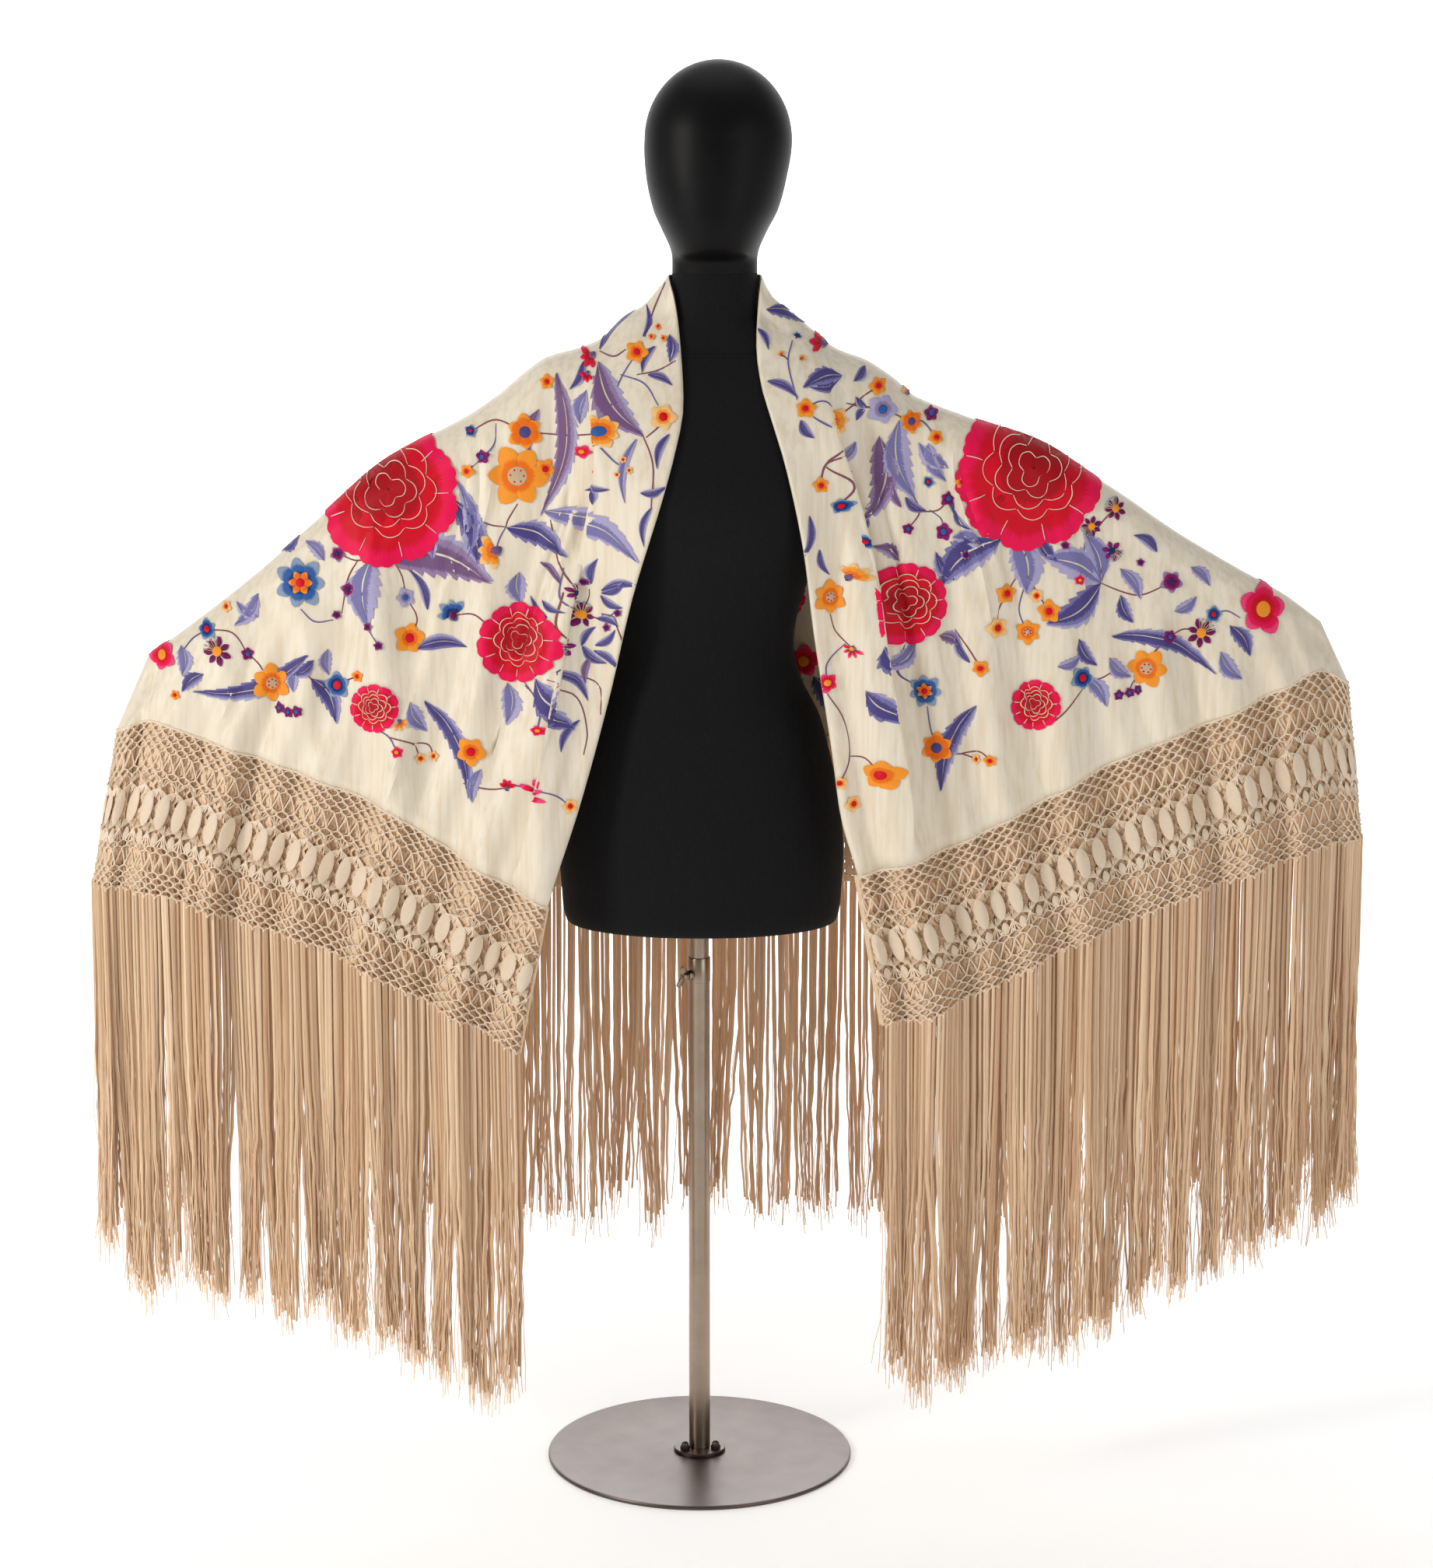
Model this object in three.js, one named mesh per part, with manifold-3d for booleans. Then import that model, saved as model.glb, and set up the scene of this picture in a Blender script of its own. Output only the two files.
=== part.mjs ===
// A fringed silk flamenco shawl draped over a limbless dress form on a telescopic stand.
// Millimetres, +Z up. The mast stands on the origin, the front of the form faces -Y.
import * as THREE from 'three';
import { mergeVertices } from 'three/addons/utils/BufferGeometryUtils.js';
import Module from 'manifold-3d';

const wasm = await Module();
wasm.setup();

// Cloth sizes
const wall = 2;             // the square is folded once, so two layers lie together
const seamGap = 0.3;
const hemGap = 0.5;         // the hems slope, so they need a little more
const repeat = 24;          // width of one leaf and one eye in the knotted band
const backRepeat = 29;      // wider behind, to keep the count of gaps down
const stripTall = 8;        // heading that the fringe hangs from
const stripThick = 5.4;
const strandSection = new THREE.Shape([
  new THREE.Vector2(0, -2.2), new THREE.Vector2(2, 1.3), new THREE.Vector2(-2, 1.3),
]);
const headingGap = 1.2;
const endJitter = 9;        // how unevenly the strands end
const jitterTurn = 2.4;
const bayMargin = 0.12;     // no strand hangs nearer to a corner of the heading, in bays
const frontStrands = { left: 38, right: 42 };
const backStrands = 84;
const frontSlack = 60;      // width that the folds take up
const backSlack = 110;
const sweep = 25;           // how far back each wing tip stands behind the mast
const sweepReach = 700;
const clearOfForm = 6.5;    // middle of the cloth to the form
const holdBlend = 6;        // how softly the cloth comes to rest on the form
const holdStart = 25;
const reachStep = 9;
const napeRound = 8;
const bandFlare = 6;        // how far the band stands out beyond the hem
const bandSpread = 0.15;    // how much its folds deepen

// The two wings. The ridge is the line over the shoulder and out to the tip; the edge is the
// folded leading edge down the front; hem, low and ends are where silk, band and fringe end.
const leftWing = {
  side: -1,
  tip: { top: 660, hem: 700, low: 735 },
  ridge: [
    { out: 35, up: 1452 }, { out: 61, up: 1420 }, { out: 88, up: 1402 }, { out: 110, up: 1381 },
    { out: 135, up: 1369 }, { out: 179, up: 1356 }, { out: 205, up: 1338 }, { out: 236, up: 1312 },
    { out: 275, up: 1286 }, { out: 327, up: 1259 }, { out: 379, up: 1227 }, { out: 445, up: 1171 },
    { out: 530, up: 1097 }, { out: 620, up: 1028 }, { out: 660, up: 1000 },
  ],
  edge: [
    { up: 1452, out: 35 }, { up: 1420, out: 27 }, { up: 1368, out: 21 }, { up: 1303, out: 18 },
    { up: 1263, out: 25 }, { up: 1203, out: 41 }, { up: 1085, out: 77 }, { up: 970, out: 104 },
    { up: 843, out: 139 }, { up: 725, out: 177 }, { up: 655, out: 190 }, { up: 551, out: 211 },
  ],
  hem: [
    { out: 177, up: 725 }, { out: 263, up: 769 }, { out: 305, up: 796 }, { out: 364, up: 832 },
    { out: 450, up: 865 }, { out: 591, up: 911 }, { out: 650, up: 928 }, { out: 700, up: 911 },
  ],
  low: [
    { out: 211, up: 551 }, { out: 330, up: 606 }, { out: 455, up: 664 }, { out: 552, up: 691 },
    { out: 645, up: 717 }, { out: 735, up: 722 },
  ],
  ends: [
    { out: 197, up: 160 }, { out: 248, up: 140 }, { out: 315, up: 169 }, { out: 405, up: 208 },
    { out: 527, up: 227 }, { out: 631, up: 262 }, { out: 680, up: 240 }, { out: 739, up: 312 },
  ],
  folds: [
    { top: 127, hem: 190, wide: 20, deep: 17 },
    { top: 240, hem: 262, wide: 18, deep: 9 },
    { top: 398, hem: 352, wide: 24, deep: 20 },
    { top: 478, hem: 455, wide: 20, deep: 8 },
    { top: 560, hem: 560, wide: 20, deep: 9 },
    { top: 645, hem: 668, wide: 15, deep: -24 },
  ],
  ripple: { count: 9, deep: 5, phase: 0.4 },
};
const rightWing = {
  side: 1,
  tip: { top: 745, hem: 780, low: 802 },
  ridge: [
    { out: 73, up: 1452 }, { out: 84, up: 1430 }, { out: 107, up: 1410 }, { out: 128, up: 1393 },
    { out: 159, up: 1368 }, { out: 197, up: 1353 }, { out: 232, up: 1330 }, { out: 252, up: 1312 },
    { out: 312, up: 1288 }, { out: 403, up: 1255 }, { out: 458, up: 1222 }, { out: 508, up: 1190 },
    { out: 568, up: 1149 }, { out: 641, up: 1106 }, { out: 700, up: 1073 }, { out: 745, up: 1040 },
  ],
  edge: [
    { up: 1452, out: 73 }, { up: 1420, out: 70 }, { up: 1368, out: 68 }, { up: 1326, out: 74 },
    { up: 1290, out: 85 }, { up: 1234, out: 102 }, { up: 1141, out: 122 }, { up: 1048, out: 134 },
    { up: 906, out: 156 }, { up: 824, out: 168 }, { up: 760, out: 187 }, { up: 695, out: 199 },
    { up: 581, out: 218 },
  ],
  hem: [
    { out: 187, up: 760 }, { out: 283, up: 786 }, { out: 376, up: 828 }, { out: 486, up: 884 },
    { out: 603, up: 930 }, { out: 696, up: 971 }, { out: 740, up: 987 }, { out: 780, up: 967 },
  ],
  low: [
    { out: 218, up: 581 }, { out: 266, up: 588 }, { out: 351, up: 622 }, { out: 427, up: 659 },
    { out: 538, up: 704 }, { out: 732, up: 769 }, { out: 802, up: 776 },
  ],
  ends: [
    { out: 193, up: 190 }, { out: 280, up: 150 }, { out: 355, up: 180 }, { out: 462, up: 197 },
    { out: 543, up: 250 }, { out: 613, up: 266 }, { out: 699, up: 316 }, { out: 802, up: 350 },
  ],
  folds: [
    { top: 150, hem: 246, wide: 26, deep: 15 },
    { top: 176, hem: 282, wide: 15, deep: -9 },
    { top: 330, hem: 352, wide: 20, deep: 10 },
    { top: 440, hem: 430, wide: 22, deep: 13 },
    { top: 560, hem: 536, wide: 20, deep: 8 },
    { top: 640, hem: 640, wide: 22, deep: 10 },
    { top: 725, hem: 745, wide: 15, deep: -26 },
  ],
  ripple: { count: 10, deep: 5, phase: 1.3 },
};
const backPanel = {
  hem: [
    { across: -700, up: 911 }, { across: -560, up: 897 }, { across: -300, up: 886 },
    { across: 0, up: 882 }, { across: 320, up: 890 }, { across: 600, up: 925 },
    { across: 780, up: 967 },
  ],
  low: [
    { across: -735, up: 722 }, { across: -560, up: 706 }, { across: -300, up: 696 },
    { across: 0, up: 693 }, { across: 320, up: 700 }, { across: 600, up: 733 },
    { across: 802, up: 776 },
  ],
  ends: [
    { across: -739, up: 312 }, { across: -560, up: 282 }, { across: -300, up: 268 },
    { across: 0, up: 278 }, { across: 320, up: 272 }, { across: 600, up: 306 },
    { across: 802, up: 350 },
  ],
  folds: [
    { top: -600, hem: -612, wide: 24, deep: 12 },
    { top: -470, hem: -485, wide: 22, deep: 16 },
    { top: -330, hem: -372, wide: 20, deep: 12 },
    { top: -180, hem: -240, wide: 24, deep: 22 },
    { top: -60, hem: -96, wide: 26, deep: 15 },
    { top: 40, hem: 36, wide: 26, deep: 13 },
    { top: 130, hem: 178, wide: 22, deep: 20 },
    { top: 250, hem: 300, wide: 22, deep: 15 },
    { top: 400, hem: 425, wide: 24, deep: 18 },
    { top: 540, hem: 560, wide: 20, deep: 10 },
    { top: 660, hem: 680, wide: 22, deep: 12 },
  ],
  ripple: { count: 21, deep: 6, phase: 2.1 },
};

// How round the cloth turns over the ridge, and how far it hangs from the ridge at the hem,
// from the leading edge or nape (0) to the tip (1).
const drape = [
  { at: 0, round: 24, front: 126, back: 130 },
  { at: 0.12, round: 44, front: 118, back: 132 },
  { at: 0.3, round: 50, front: 96, back: 112 },
  { at: 0.6, round: 42, front: 72, back: 76 },
  { at: 1, round: 28, front: 52, back: 52 },
];
const tipStart = 0.92;      // where the wing's end begins to round in plan
const tipShare = 0.87;      // share of the columns before that
const napeShare = 0.1;      // share of each back half that lies round the neck

// Dress form, ring by ring from the base to the neck. Over is the ring's shift sideways: the
// form leans a little.
const formRound = 2.15;
const formRings = [
  { up: 679, over: 3, wide: 150, front: 100, back: 104 },
  { up: 683, over: 3, wide: 163, front: 112, back: 116 },
  { up: 723, over: 3, wide: 169, front: 116, back: 122 },
  { up: 772, over: 3, wide: 171, front: 117, back: 128 },
  { up: 823, over: 3, wide: 166, front: 114, back: 127 },
  { up: 872, over: 4, wide: 156, front: 109, back: 119 },
  { up: 932, over: 5, wide: 139, front: 101, back: 103 },
  { up: 972, over: 5, wide: 119, front: 95, back: 92 },
  { up: 1015, over: 6, wide: 107, front: 92, back: 84 },
  { up: 1060, over: 7, wide: 112, front: 94, back: 82 },
  { up: 1110, over: 8, wide: 128, front: 103, back: 86 },
  { up: 1160, over: 10, wide: 146, front: 115, back: 92 },
  { up: 1205, over: 11, wide: 162, front: 119, back: 97 },
  { up: 1250, over: 13, wide: 178, front: 105, back: 95 },
  { up: 1295, over: 14, wide: 187, front: 86, back: 85 },
  { up: 1325, over: 15, wide: 186, front: 72, back: 75 },
  { up: 1342, over: 16, wide: 174, front: 63, back: 66 },
  { up: 1360, over: 16, wide: 140, front: 55, back: 57 },
  { up: 1376, over: 17, wide: 110, front: 51, back: 55 },
  { up: 1390, over: 17, wide: 74, front: 49, back: 53 },
  { up: 1404, over: 18, wide: 52, front: 48.5, back: 50 },
  { up: 1455, over: 19, wide: 50, front: 48, back: 49 },
];
const headRings = [
  { up: 1455.3, over: 19, wide: 50, front: 48, back: 49 },
  { up: 1472, over: 19, wide: 50, front: 55, back: 50 },
  { up: 1479, over: 19, wide: 51, front: 78, back: 52 },
  { up: 1488, over: 19, wide: 54, front: 88, back: 58 },
  { up: 1505, over: 19, wide: 62, front: 96, back: 70 },
  { up: 1528, over: 20, wide: 73, front: 100, back: 82 },
  { up: 1565, over: 21, wide: 82, front: 102, back: 94 },
  { up: 1608, over: 23, wide: 86, front: 100, back: 99 },
  { up: 1645, over: 23, wide: 79, front: 90, back: 92 },
  { up: 1675, over: 22, wide: 59, front: 66, back: 70 },
  { up: 1692, over: 22, wide: 36, front: 40, back: 43 },
  { up: 1700, over: 22, wide: 12, front: 13, back: 14 },
];

// Stand
const baseRadius = 188;
const baseThick = 5;
const flangeRadius = 32;
const flangeThick = 4;
const nutCircle = 22;
const nutAngles = [95, 215, 335];
const mastTop = 634;        // mouth of the lower tube
const outerRadius = 13;
const boreRadius = 12.4;
const innerRadius = 11.9;
const innerBore = 10.4;
const innerInsert = 280;    // length of the upper tube inside the lower one
const screwHeight = 614;
const screwTurn = 225;      // direction that the clamp screw points, in degrees
const collarTall = 30;
const bossRadius = 5.5;
const bossLong = 8;

// Value of one column of a table at a place in another, on a smooth curve through its rows.
function curve(rows, from, to, place) {
  const flip = rows[0][from] > rows[rows.length - 1][from] ? -1 : 1;
  const last = rows.length - 1;
  let i = 0;
  while (i < last - 1 && flip * place > flip * rows[i + 1][from]) i += 1;
  const slope = (k) => {
    const a = rows[Math.max(0, k - 1)];
    const b = rows[Math.min(last, k + 1)];
    return (b[to] - a[to]) / (b[from] - a[from]);
  };
  const step = rows[i + 1][from] - rows[i][from];
  const u = THREE.MathUtils.clamp((place - rows[i][from]) / step, 0, 1);
  const ease = u * u * (3 - 2 * u);
  return rows[i][to] + (rows[i + 1][to] - rows[i][to]) * ease
    + step * u * (1 - u) * ((1 - u) * slope(i) - u * slope(i + 1));
}

const mix = THREE.MathUtils.lerp;
const fade = THREE.MathUtils.smoothstep;

// Larger of two lengths, blended where they are close.
function softMax(a, b, blend) {
  return 0.5 * (a + b + Math.hypot(a - b, blend));
}

// How far the form stands out in front (or behind) at a place, counting what juts out above
// it, because cloth hangs plumb from the widest part over it.
function formReach(x, z, facing) {
  let reach = 0;
  for (let up = Math.max(z, formRings[0].up); up <= formRings.at(-1).up; up += reachStep) {
    const off = Math.abs(x - curve(formRings, 'up', 'over', up)) / curve(formRings, 'up', 'wide', up);
    if (off < 1) {
      const deep = curve(formRings, 'up', facing, up);
      reach = Math.max(reach, deep * (1 - off ** formRound) ** (1 / formRound));
    }
  }
  return reach;
}

// Turns an even count of columns into an even walk along a wing that ends in a rounded tip.
function roundTip(share) {
  if (share < tipShare) return { s: share * tipStart / tipShare, close: 1 };
  const turn = (share - tipShare) / (1 - tipShare) * Math.PI / 2;
  return { s: tipStart + (1 - tipStart) * Math.sin(turn), close: Math.cos(turn) };
}

function ridgeBack(x) {
  return sweep * (x / sweepReach) ** 2;
}

// One hanging column of a front panel: its top on the ridge, and its ends at hem and band.
function frontColumn(wing, share) {
  const { s, close } = roundTip(share);
  const topOut = mix(wing.edge[0].out, wing.tip.top, s);
  const hemOut = mix(wing.hem[0].out, wing.tip.hem, s);
  const lowOut = mix(wing.low[0].out, wing.tip.low, s);
  const hemUp = curve(wing.hem, 'out', 'up', hemOut);
  return {
    s, close, facing: 'front', sign: -1, folds: wing.folds, ripple: wing.ripple, side: wing.side,
    top: { x: wing.side * topOut, y: ridgeBack(topOut), z: curve(wing.ridge, 'out', 'up', topOut) },
    hem: { x: wing.side * hemOut, z: hemUp },
    low: { x: wing.side * lowOut, z: curve(wing.low, 'out', 'up', lowOut) },
    bend: (up, level) => {
      const straight = mix(wing.edge[0].out, wing.hem[0].out, level);
      return wing.side * (1 - s) * (curve(wing.edge, 'up', 'out', up) - straight);
    },
    edgeUp: (level) => mix(wing.edge[0].up, wing.hem[0].up, level),
    round: curve(drape, 'at', 'round', s),
    deep: curve(drape, 'at', 'front', s),
  };
}

// One hanging column of the back, from the left tip (0) round the nape to the right tip (1).
function backColumn(share) {
  const wing = share < 0.5 ? leftWing : rightWing;
  const { s, close } = roundTip(Math.abs(2 * share - 1));
  const neck = formRings.at(-1);
  const neckOut = neck.wide + clearOfForm;
  const out = Math.max(0, (s - napeShare) / (1 - napeShare));
  const topOut = mix(wing.edge[0].out, wing.tip.top, out);
  const turn = Math.min(1, s / napeShare) * Math.PI / 2;
  const atNape = s < napeShare;
  const neckX = neck.over + wing.side * neckOut * Math.sin(turn);
  const napeX = neckX + (wing.side * wing.edge[0].out - neck.over - wing.side * neckOut) * Math.sin(turn);
  const hemX = wing.side * wing.tip.hem * s;
  const lowX = wing.side * wing.tip.low * s;
  return {
    s, close, facing: 'back', sign: 1, folds: backPanel.folds, ripple: backPanel.ripple, side: 1,
    top: {
      x: atNape ? napeX : wing.side * topOut,
      y: atNape ? neckOut * Math.cos(turn) : ridgeBack(topOut),
      z: atNape ? wing.edge[0].up : curve(wing.ridge, 'out', 'up', topOut),
    },
    hem: { x: hemX, z: curve(backPanel.hem, 'across', 'up', hemX) },
    low: { x: lowX, z: curve(backPanel.low, 'across', 'up', lowX) },
    bend: () => 0,
    edgeUp: () => 0,
    round: mix(napeRound, curve(drape, 'at', 'round', out), Math.min(1, s / napeShare)),
    deep: curve(drape, 'at', 'back', out),
  };
}

// Sum of the folds at a place: table folds that run from ridge to hem, and finer ripples.
function foldDepth(column, share, x, level) {
  const place = column.facing === 'front' ? Math.abs(x) : x;
  const grow = fade(level, 0.02, 0.55);
  let depth = 0;
  for (const fold of column.folds) {
    const middle = mix(fold.top, fold.hem, Math.min(level, 1));
    depth += fold.deep * grow * Math.exp(-(((place - middle) / fold.wide) ** 2));
  }
  const { count, deep, phase } = column.ripple;
  const warp = 0.55 * Math.sin(2 * Math.PI * 3.3 * share + phase);
  return depth + deep * fade(level, 0.15, 1) * Math.sin(2 * Math.PI * count * share + phase + warp);
}

// Middle of the silk: share runs along the panel, level from the ridge (0) to the hem (1).
function silkPoint(column, share, down) {
  const drop = column.top.z - column.hem.z;
  const level = down / drop;
  const turned = Math.min(down, column.round);
  const over = Math.sqrt(Math.max(0, turned * (2 * column.round - turned)));
  const x = mix(column.top.x, column.hem.x, level) + column.bend(column.edgeUp(level), level);
  const z = column.top.z - down;
  const flare = (column.deep - column.round) * fade(level, 0, 1);
  const free = (over + flare + foldDepth(column, share, x, level)) * column.close;
  const blend = holdBlend * fade(down, 0, holdStart);
  const reach = formReach(x, z, column.facing);
  const base = column.sign * column.top.y;
  const held = reach > 0 ? softMax(base + free, reach + clearOfForm, blend) : base + free;
  const y = column.sign * mix(base + free, held, down > 0 ? 1 : 0);
  return new THREE.Vector3(x, y, z);
}

// Middle of the band and of the fringe's heading: past (0 to 1) runs from hem to band's end.
function bandPoint(column, share, past, below) {
  const drop = column.top.z - column.hem.z;
  const hem = silkPoint(column, share, drop);
  const x = mix(column.hem.x, column.low.x, past);
  const z = mix(column.hem.z, column.low.z, past) - below;
  const folded = foldDepth(column, share, column.hem.x, 1) * column.close;
  const y = hem.y + column.sign * (bandFlare * past * column.close + bandSpread * past * folded);
  return new THREE.Vector3(x, y, z);
}

// Closed wall round a sheet. Each spot is {a, b} and place(a, b) gives its middle. On a seam,
// plane(a, b) gives the Y of the face there, and a level row keeps its thickness horizontal,
// so that two pieces meet face to face.
function thicken(spots, triangles, place, thick, plane, isLevel) {
  const tiny = 1e-3;
  const count = spots.length;
  const points = new Float32Array(count * 6);
  spots.forEach(({ a, b }, i) => {
    const middle = place(a, b);
    const along = place(a + tiny, b).sub(place(a - tiny, b));
    const down = place(a, b + tiny).sub(place(a, b - tiny));
    if (isLevel(b)) down.set(0, 0, -1);
    const normal = down.cross(along);
    const seamY = plane(a, b);
    if (seamY !== null) {
      normal.y = 0;
      middle.y = seamY;
    }
    normal.setLength(thick / 2);
    middle.clone().add(normal).toArray(points, i * 3);
    middle.clone().sub(normal).toArray(points, (count + i) * 3);
  });
  const faces = [];
  const open = new Map();
  for (const [p, q, r] of triangles) {
    faces.push(p, q, r, count + p, count + r, count + q);
    for (const [m, n] of [[p, q], [q, r], [r, p]]) {
      if (!open.delete(`${n},${m}`)) open.set(`${m},${n}`, [m, n]);
    }
  }
  for (const [m, n] of open.values()) faces.push(m, count + m, n, n, count + m, count + n);
  const geometry = new THREE.BufferGeometry();
  geometry.setAttribute('position', new THREE.BufferAttribute(points, 3));
  geometry.setIndex(faces);
  return volumeOf(geometry) < 0 ? turnedOut(geometry) : geometry;
}

function volumeOf(geometry) {
  const at = geometry.attributes.position;
  const index = geometry.index.array;
  const [p, q, r] = [new THREE.Vector3(), new THREE.Vector3(), new THREE.Vector3()];
  let sum = 0;
  for (let i = 0; i < index.length; i += 3) {
    p.fromBufferAttribute(at, index[i]);
    q.fromBufferAttribute(at, index[i + 1]);
    r.fromBufferAttribute(at, index[i + 2]);
    sum += p.dot(q.cross(r));
  }
  return sum / 6;
}

function turnedOut(geometry) {
  const index = geometry.index.array;
  for (let i = 0; i < index.length; i += 3) [index[i], index[i + 1]] = [index[i + 1], index[i]];
  return geometry;
}

// The face where front and back meet, at the ridge and down the tip.
function seamPlane(column, away) {
  return column.top.y + column.sign * away;
}

// Panel of silk: even columns, and rows that turn over the ridge and then hang.
const turnRows = [0, 0.3, 1];
const hangRows = [0.085, 0.175, 0.28, 0.42, 0.66, 1];

function silkPanel(columnAt, columns, onRidge, tips) {
  const rows = turnRows.length + hangRows.length;
  const rowDepths = (column) => {
    const hang = column.top.z - column.hem.z - column.round;
    return [...turnRows.map((t) => t * column.round), ...hangRows.map((t) => column.round + t * hang)];
  };
  const downAt = (column, row) => {
    const depths = rowDepths(column);
    const low = Math.min(Math.floor(row), rows - 2);
    return mix(depths[low], depths[low + 1], row - low);
  };
  const place = (a, b) => {
    const share = THREE.MathUtils.clamp(a / columns, 0, 1);
    const row = THREE.MathUtils.clamp(b, 0, rows - 1);
    const column = columnAt(share);
    return silkPoint(column, share, downAt(column, row));
  };
  const spots = [];
  const triangles = [];
  for (let a = 0; a <= columns; a += 1) {
    for (let b = 0; b < rows; b += 1) spots.push({ a, b });
  }
  for (let a = 0; a < columns; a += 1) {
    for (let b = 0; b < rows - 1; b += 1) {
      const i = a * rows + b;
      triangles.push([i, i + 1, i + rows], [i + 1, i + rows + 1, i + rows]);
    }
  }
  const plane = (a, b) => {
    const onSeam = (b === 0 && onRidge(a)) || tips.includes(a);
    return onSeam ? seamPlane(columnAt(a / columns), seamGap / 2) : null;
  };
  return thicken(spots, triangles, place, wall, plane, (b) => b === rows - 1);
}

// Knotted band: a row of eyes between leaves, and smaller gaps in the fans above and below.
// Depths of its rows are shares of the band's width.
const bandRows = { fanTop: 0.355, eyeTop: 0.42, eyeWide: 0.5, eyeLow: 0.58, fanLow: 0.645 };
const eyeHalf = 0.2;        // half width of an eye, in repeats
const eyeShoulder = 0.045;
const fanHalf = 0.19;

function bandPanel(columnAt, repeats, fans, tips) {
  const spots = [];
  const triangles = [];
  const known = new Map();
  const spot = (a, b) => {
    const key = `${a.toFixed(4)},${b.toFixed(4)}`;
    if (!known.has(key)) known.set(key, spots.push({ a, b }) - 1);
    return known.get(key);
  };
  const fill = (...corners) => {
    const ids = corners.map(([a, b]) => spot(a, b));
    for (let i = 1; i < ids.length - 1; i += 1) triangles.push([ids[0], ids[i + 1], ids[i]]);
  };
  const { fanTop, eyeTop, eyeWide, eyeLow, fanLow } = bandRows;
  for (let a = 0; a < repeats; a += 1) {
    const middle = a + 0.5;
    const top = fans ? fanTop : eyeTop;
    const low = fans ? fanLow : eyeLow;
    fill([middle, top], [a, top], [a, 0], [a + 1, 0], [a + 1, top]);
    for (const [high, deep] of fans ? [[fanTop, eyeTop], [eyeLow, fanLow]] : []) {
      const half = (high + deep) / 2;
      const first = a > 0 ? [a + fanHalf, half] : [a, half];
      const next = a < repeats - 1 ? [a + 1 - fanHalf, half] : [a + 1, half];
      fill([middle, high], [a + 1, high], next, [a + 1, deep], [middle, deep]);
      fill([middle, deep], [a, deep], first, [a, high], [middle, high]);
    }
    const left = middle - eyeHalf;
    const right = middle + eyeHalf;
    const eye = [
      [middle, eyeTop], [left, eyeWide - eyeShoulder], [left, eyeWide + eyeShoulder],
      [middle, eyeLow], [right, eyeWide + eyeShoulder], [right, eyeWide - eyeShoulder],
    ];
    fill([a, eyeTop], eye[0], eye[1], eye[2], [a, eyeLow]);
    fill(eye[2], eye[3], [a, eyeLow]);
    fill([a + 1, eyeTop], [a + 1, eyeLow], eye[4], eye[5], eye[0]);
    fill(eye[4], [a + 1, eyeLow], eye[3]);
    fill([middle, low], [a + 1, low], [a + 1, 1], [a, 1], [a, low]);
  }
  const place = (a, b) => {
    const share = THREE.MathUtils.clamp(a / repeats, 0, 1);
    const column = columnAt(share);
    const past = THREE.MathUtils.clamp(b, 0, 1);
    return bandPoint(column, share, past, hemGap * (1 - past));
  };
  const plane = (a) => (tips.includes(a) ? seamPlane(columnAt(a / repeats), seamGap / 2) : null);
  return thicken(spots, triangles, place, wall, plane, (b) => b === 0 || b === 1);
}

// Solids that are joined or cut
function solidOf(geometry) {
  const bare = geometry.clone();
  bare.deleteAttribute('normal');
  bare.deleteAttribute('uv');
  const merged = mergeVertices(bare, 1e-4);
  return new wasm.Manifold(new wasm.Mesh({
    numProp: 3,
    vertProperties: new Float32Array(merged.attributes.position.array),
    triVerts: new Uint32Array(merged.index.array),
  }));
}

function geometryOf(solid) {
  const mesh = solid.getMesh();
  const geometry = new THREE.BufferGeometry();
  const points = new Float32Array(mesh.vertProperties);
  geometry.setAttribute('position', new THREE.BufferAttribute(points, 3));
  geometry.setIndex(new THREE.BufferAttribute(new Uint32Array(mesh.triVerts), 1));
  return geometry;
}

// Fringe: a narrow heading just under the band, and strands that stand apart below it.
function fringe(columnAt, bays, strands, endUp, tips) {
  const place = (a, b) => {
    const share = THREE.MathUtils.clamp(a / bays, 0, 1);
    const column = columnAt(share);
    const below = headingGap + THREE.MathUtils.clamp(b, 0, 1) * stripTall;
    return bandPoint(column, share, 1, below);
  };
  const spots = [];
  const triangles = [];
  for (let a = 0; a <= bays; a += 1) spots.push({ a, b: 0 }, { a, b: 1 });
  for (let a = 0; a < bays; a += 1) {
    triangles.push([2 * a, 2 * a + 1, 2 * a + 2], [2 * a + 1, 2 * a + 3, 2 * a + 2]);
  }
  const plane = (a) => (tips.includes(a) ? seamPlane(columnAt(a / bays), stripThick / 2) : null);
  let joined = solidOf(thicken(spots, triangles, place, stripThick, plane, () => true));
  for (let k = 0; k < strands; k += 1) {
    const spread = (k + 0.5) / strands * bays;
    const bay = Math.floor(spread);
    const from = place(bay, 1).lerp(place(bay + 1, 1), mix(bayMargin, 1 - bayMargin, spread - bay));
    const end = endUp(from.x) + endJitter * Math.sin(jitterTurn * k);
    const long = from.z + stripTall / 2 - end;
    const strand = new THREE.ExtrudeGeometry(strandSection, { depth: long, bevelEnabled: false });
    strand.translate(from.x, from.y, end);
    joined = joined.add(solidOf(strand));
  }
  return geometryOf(joined);
}

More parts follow.
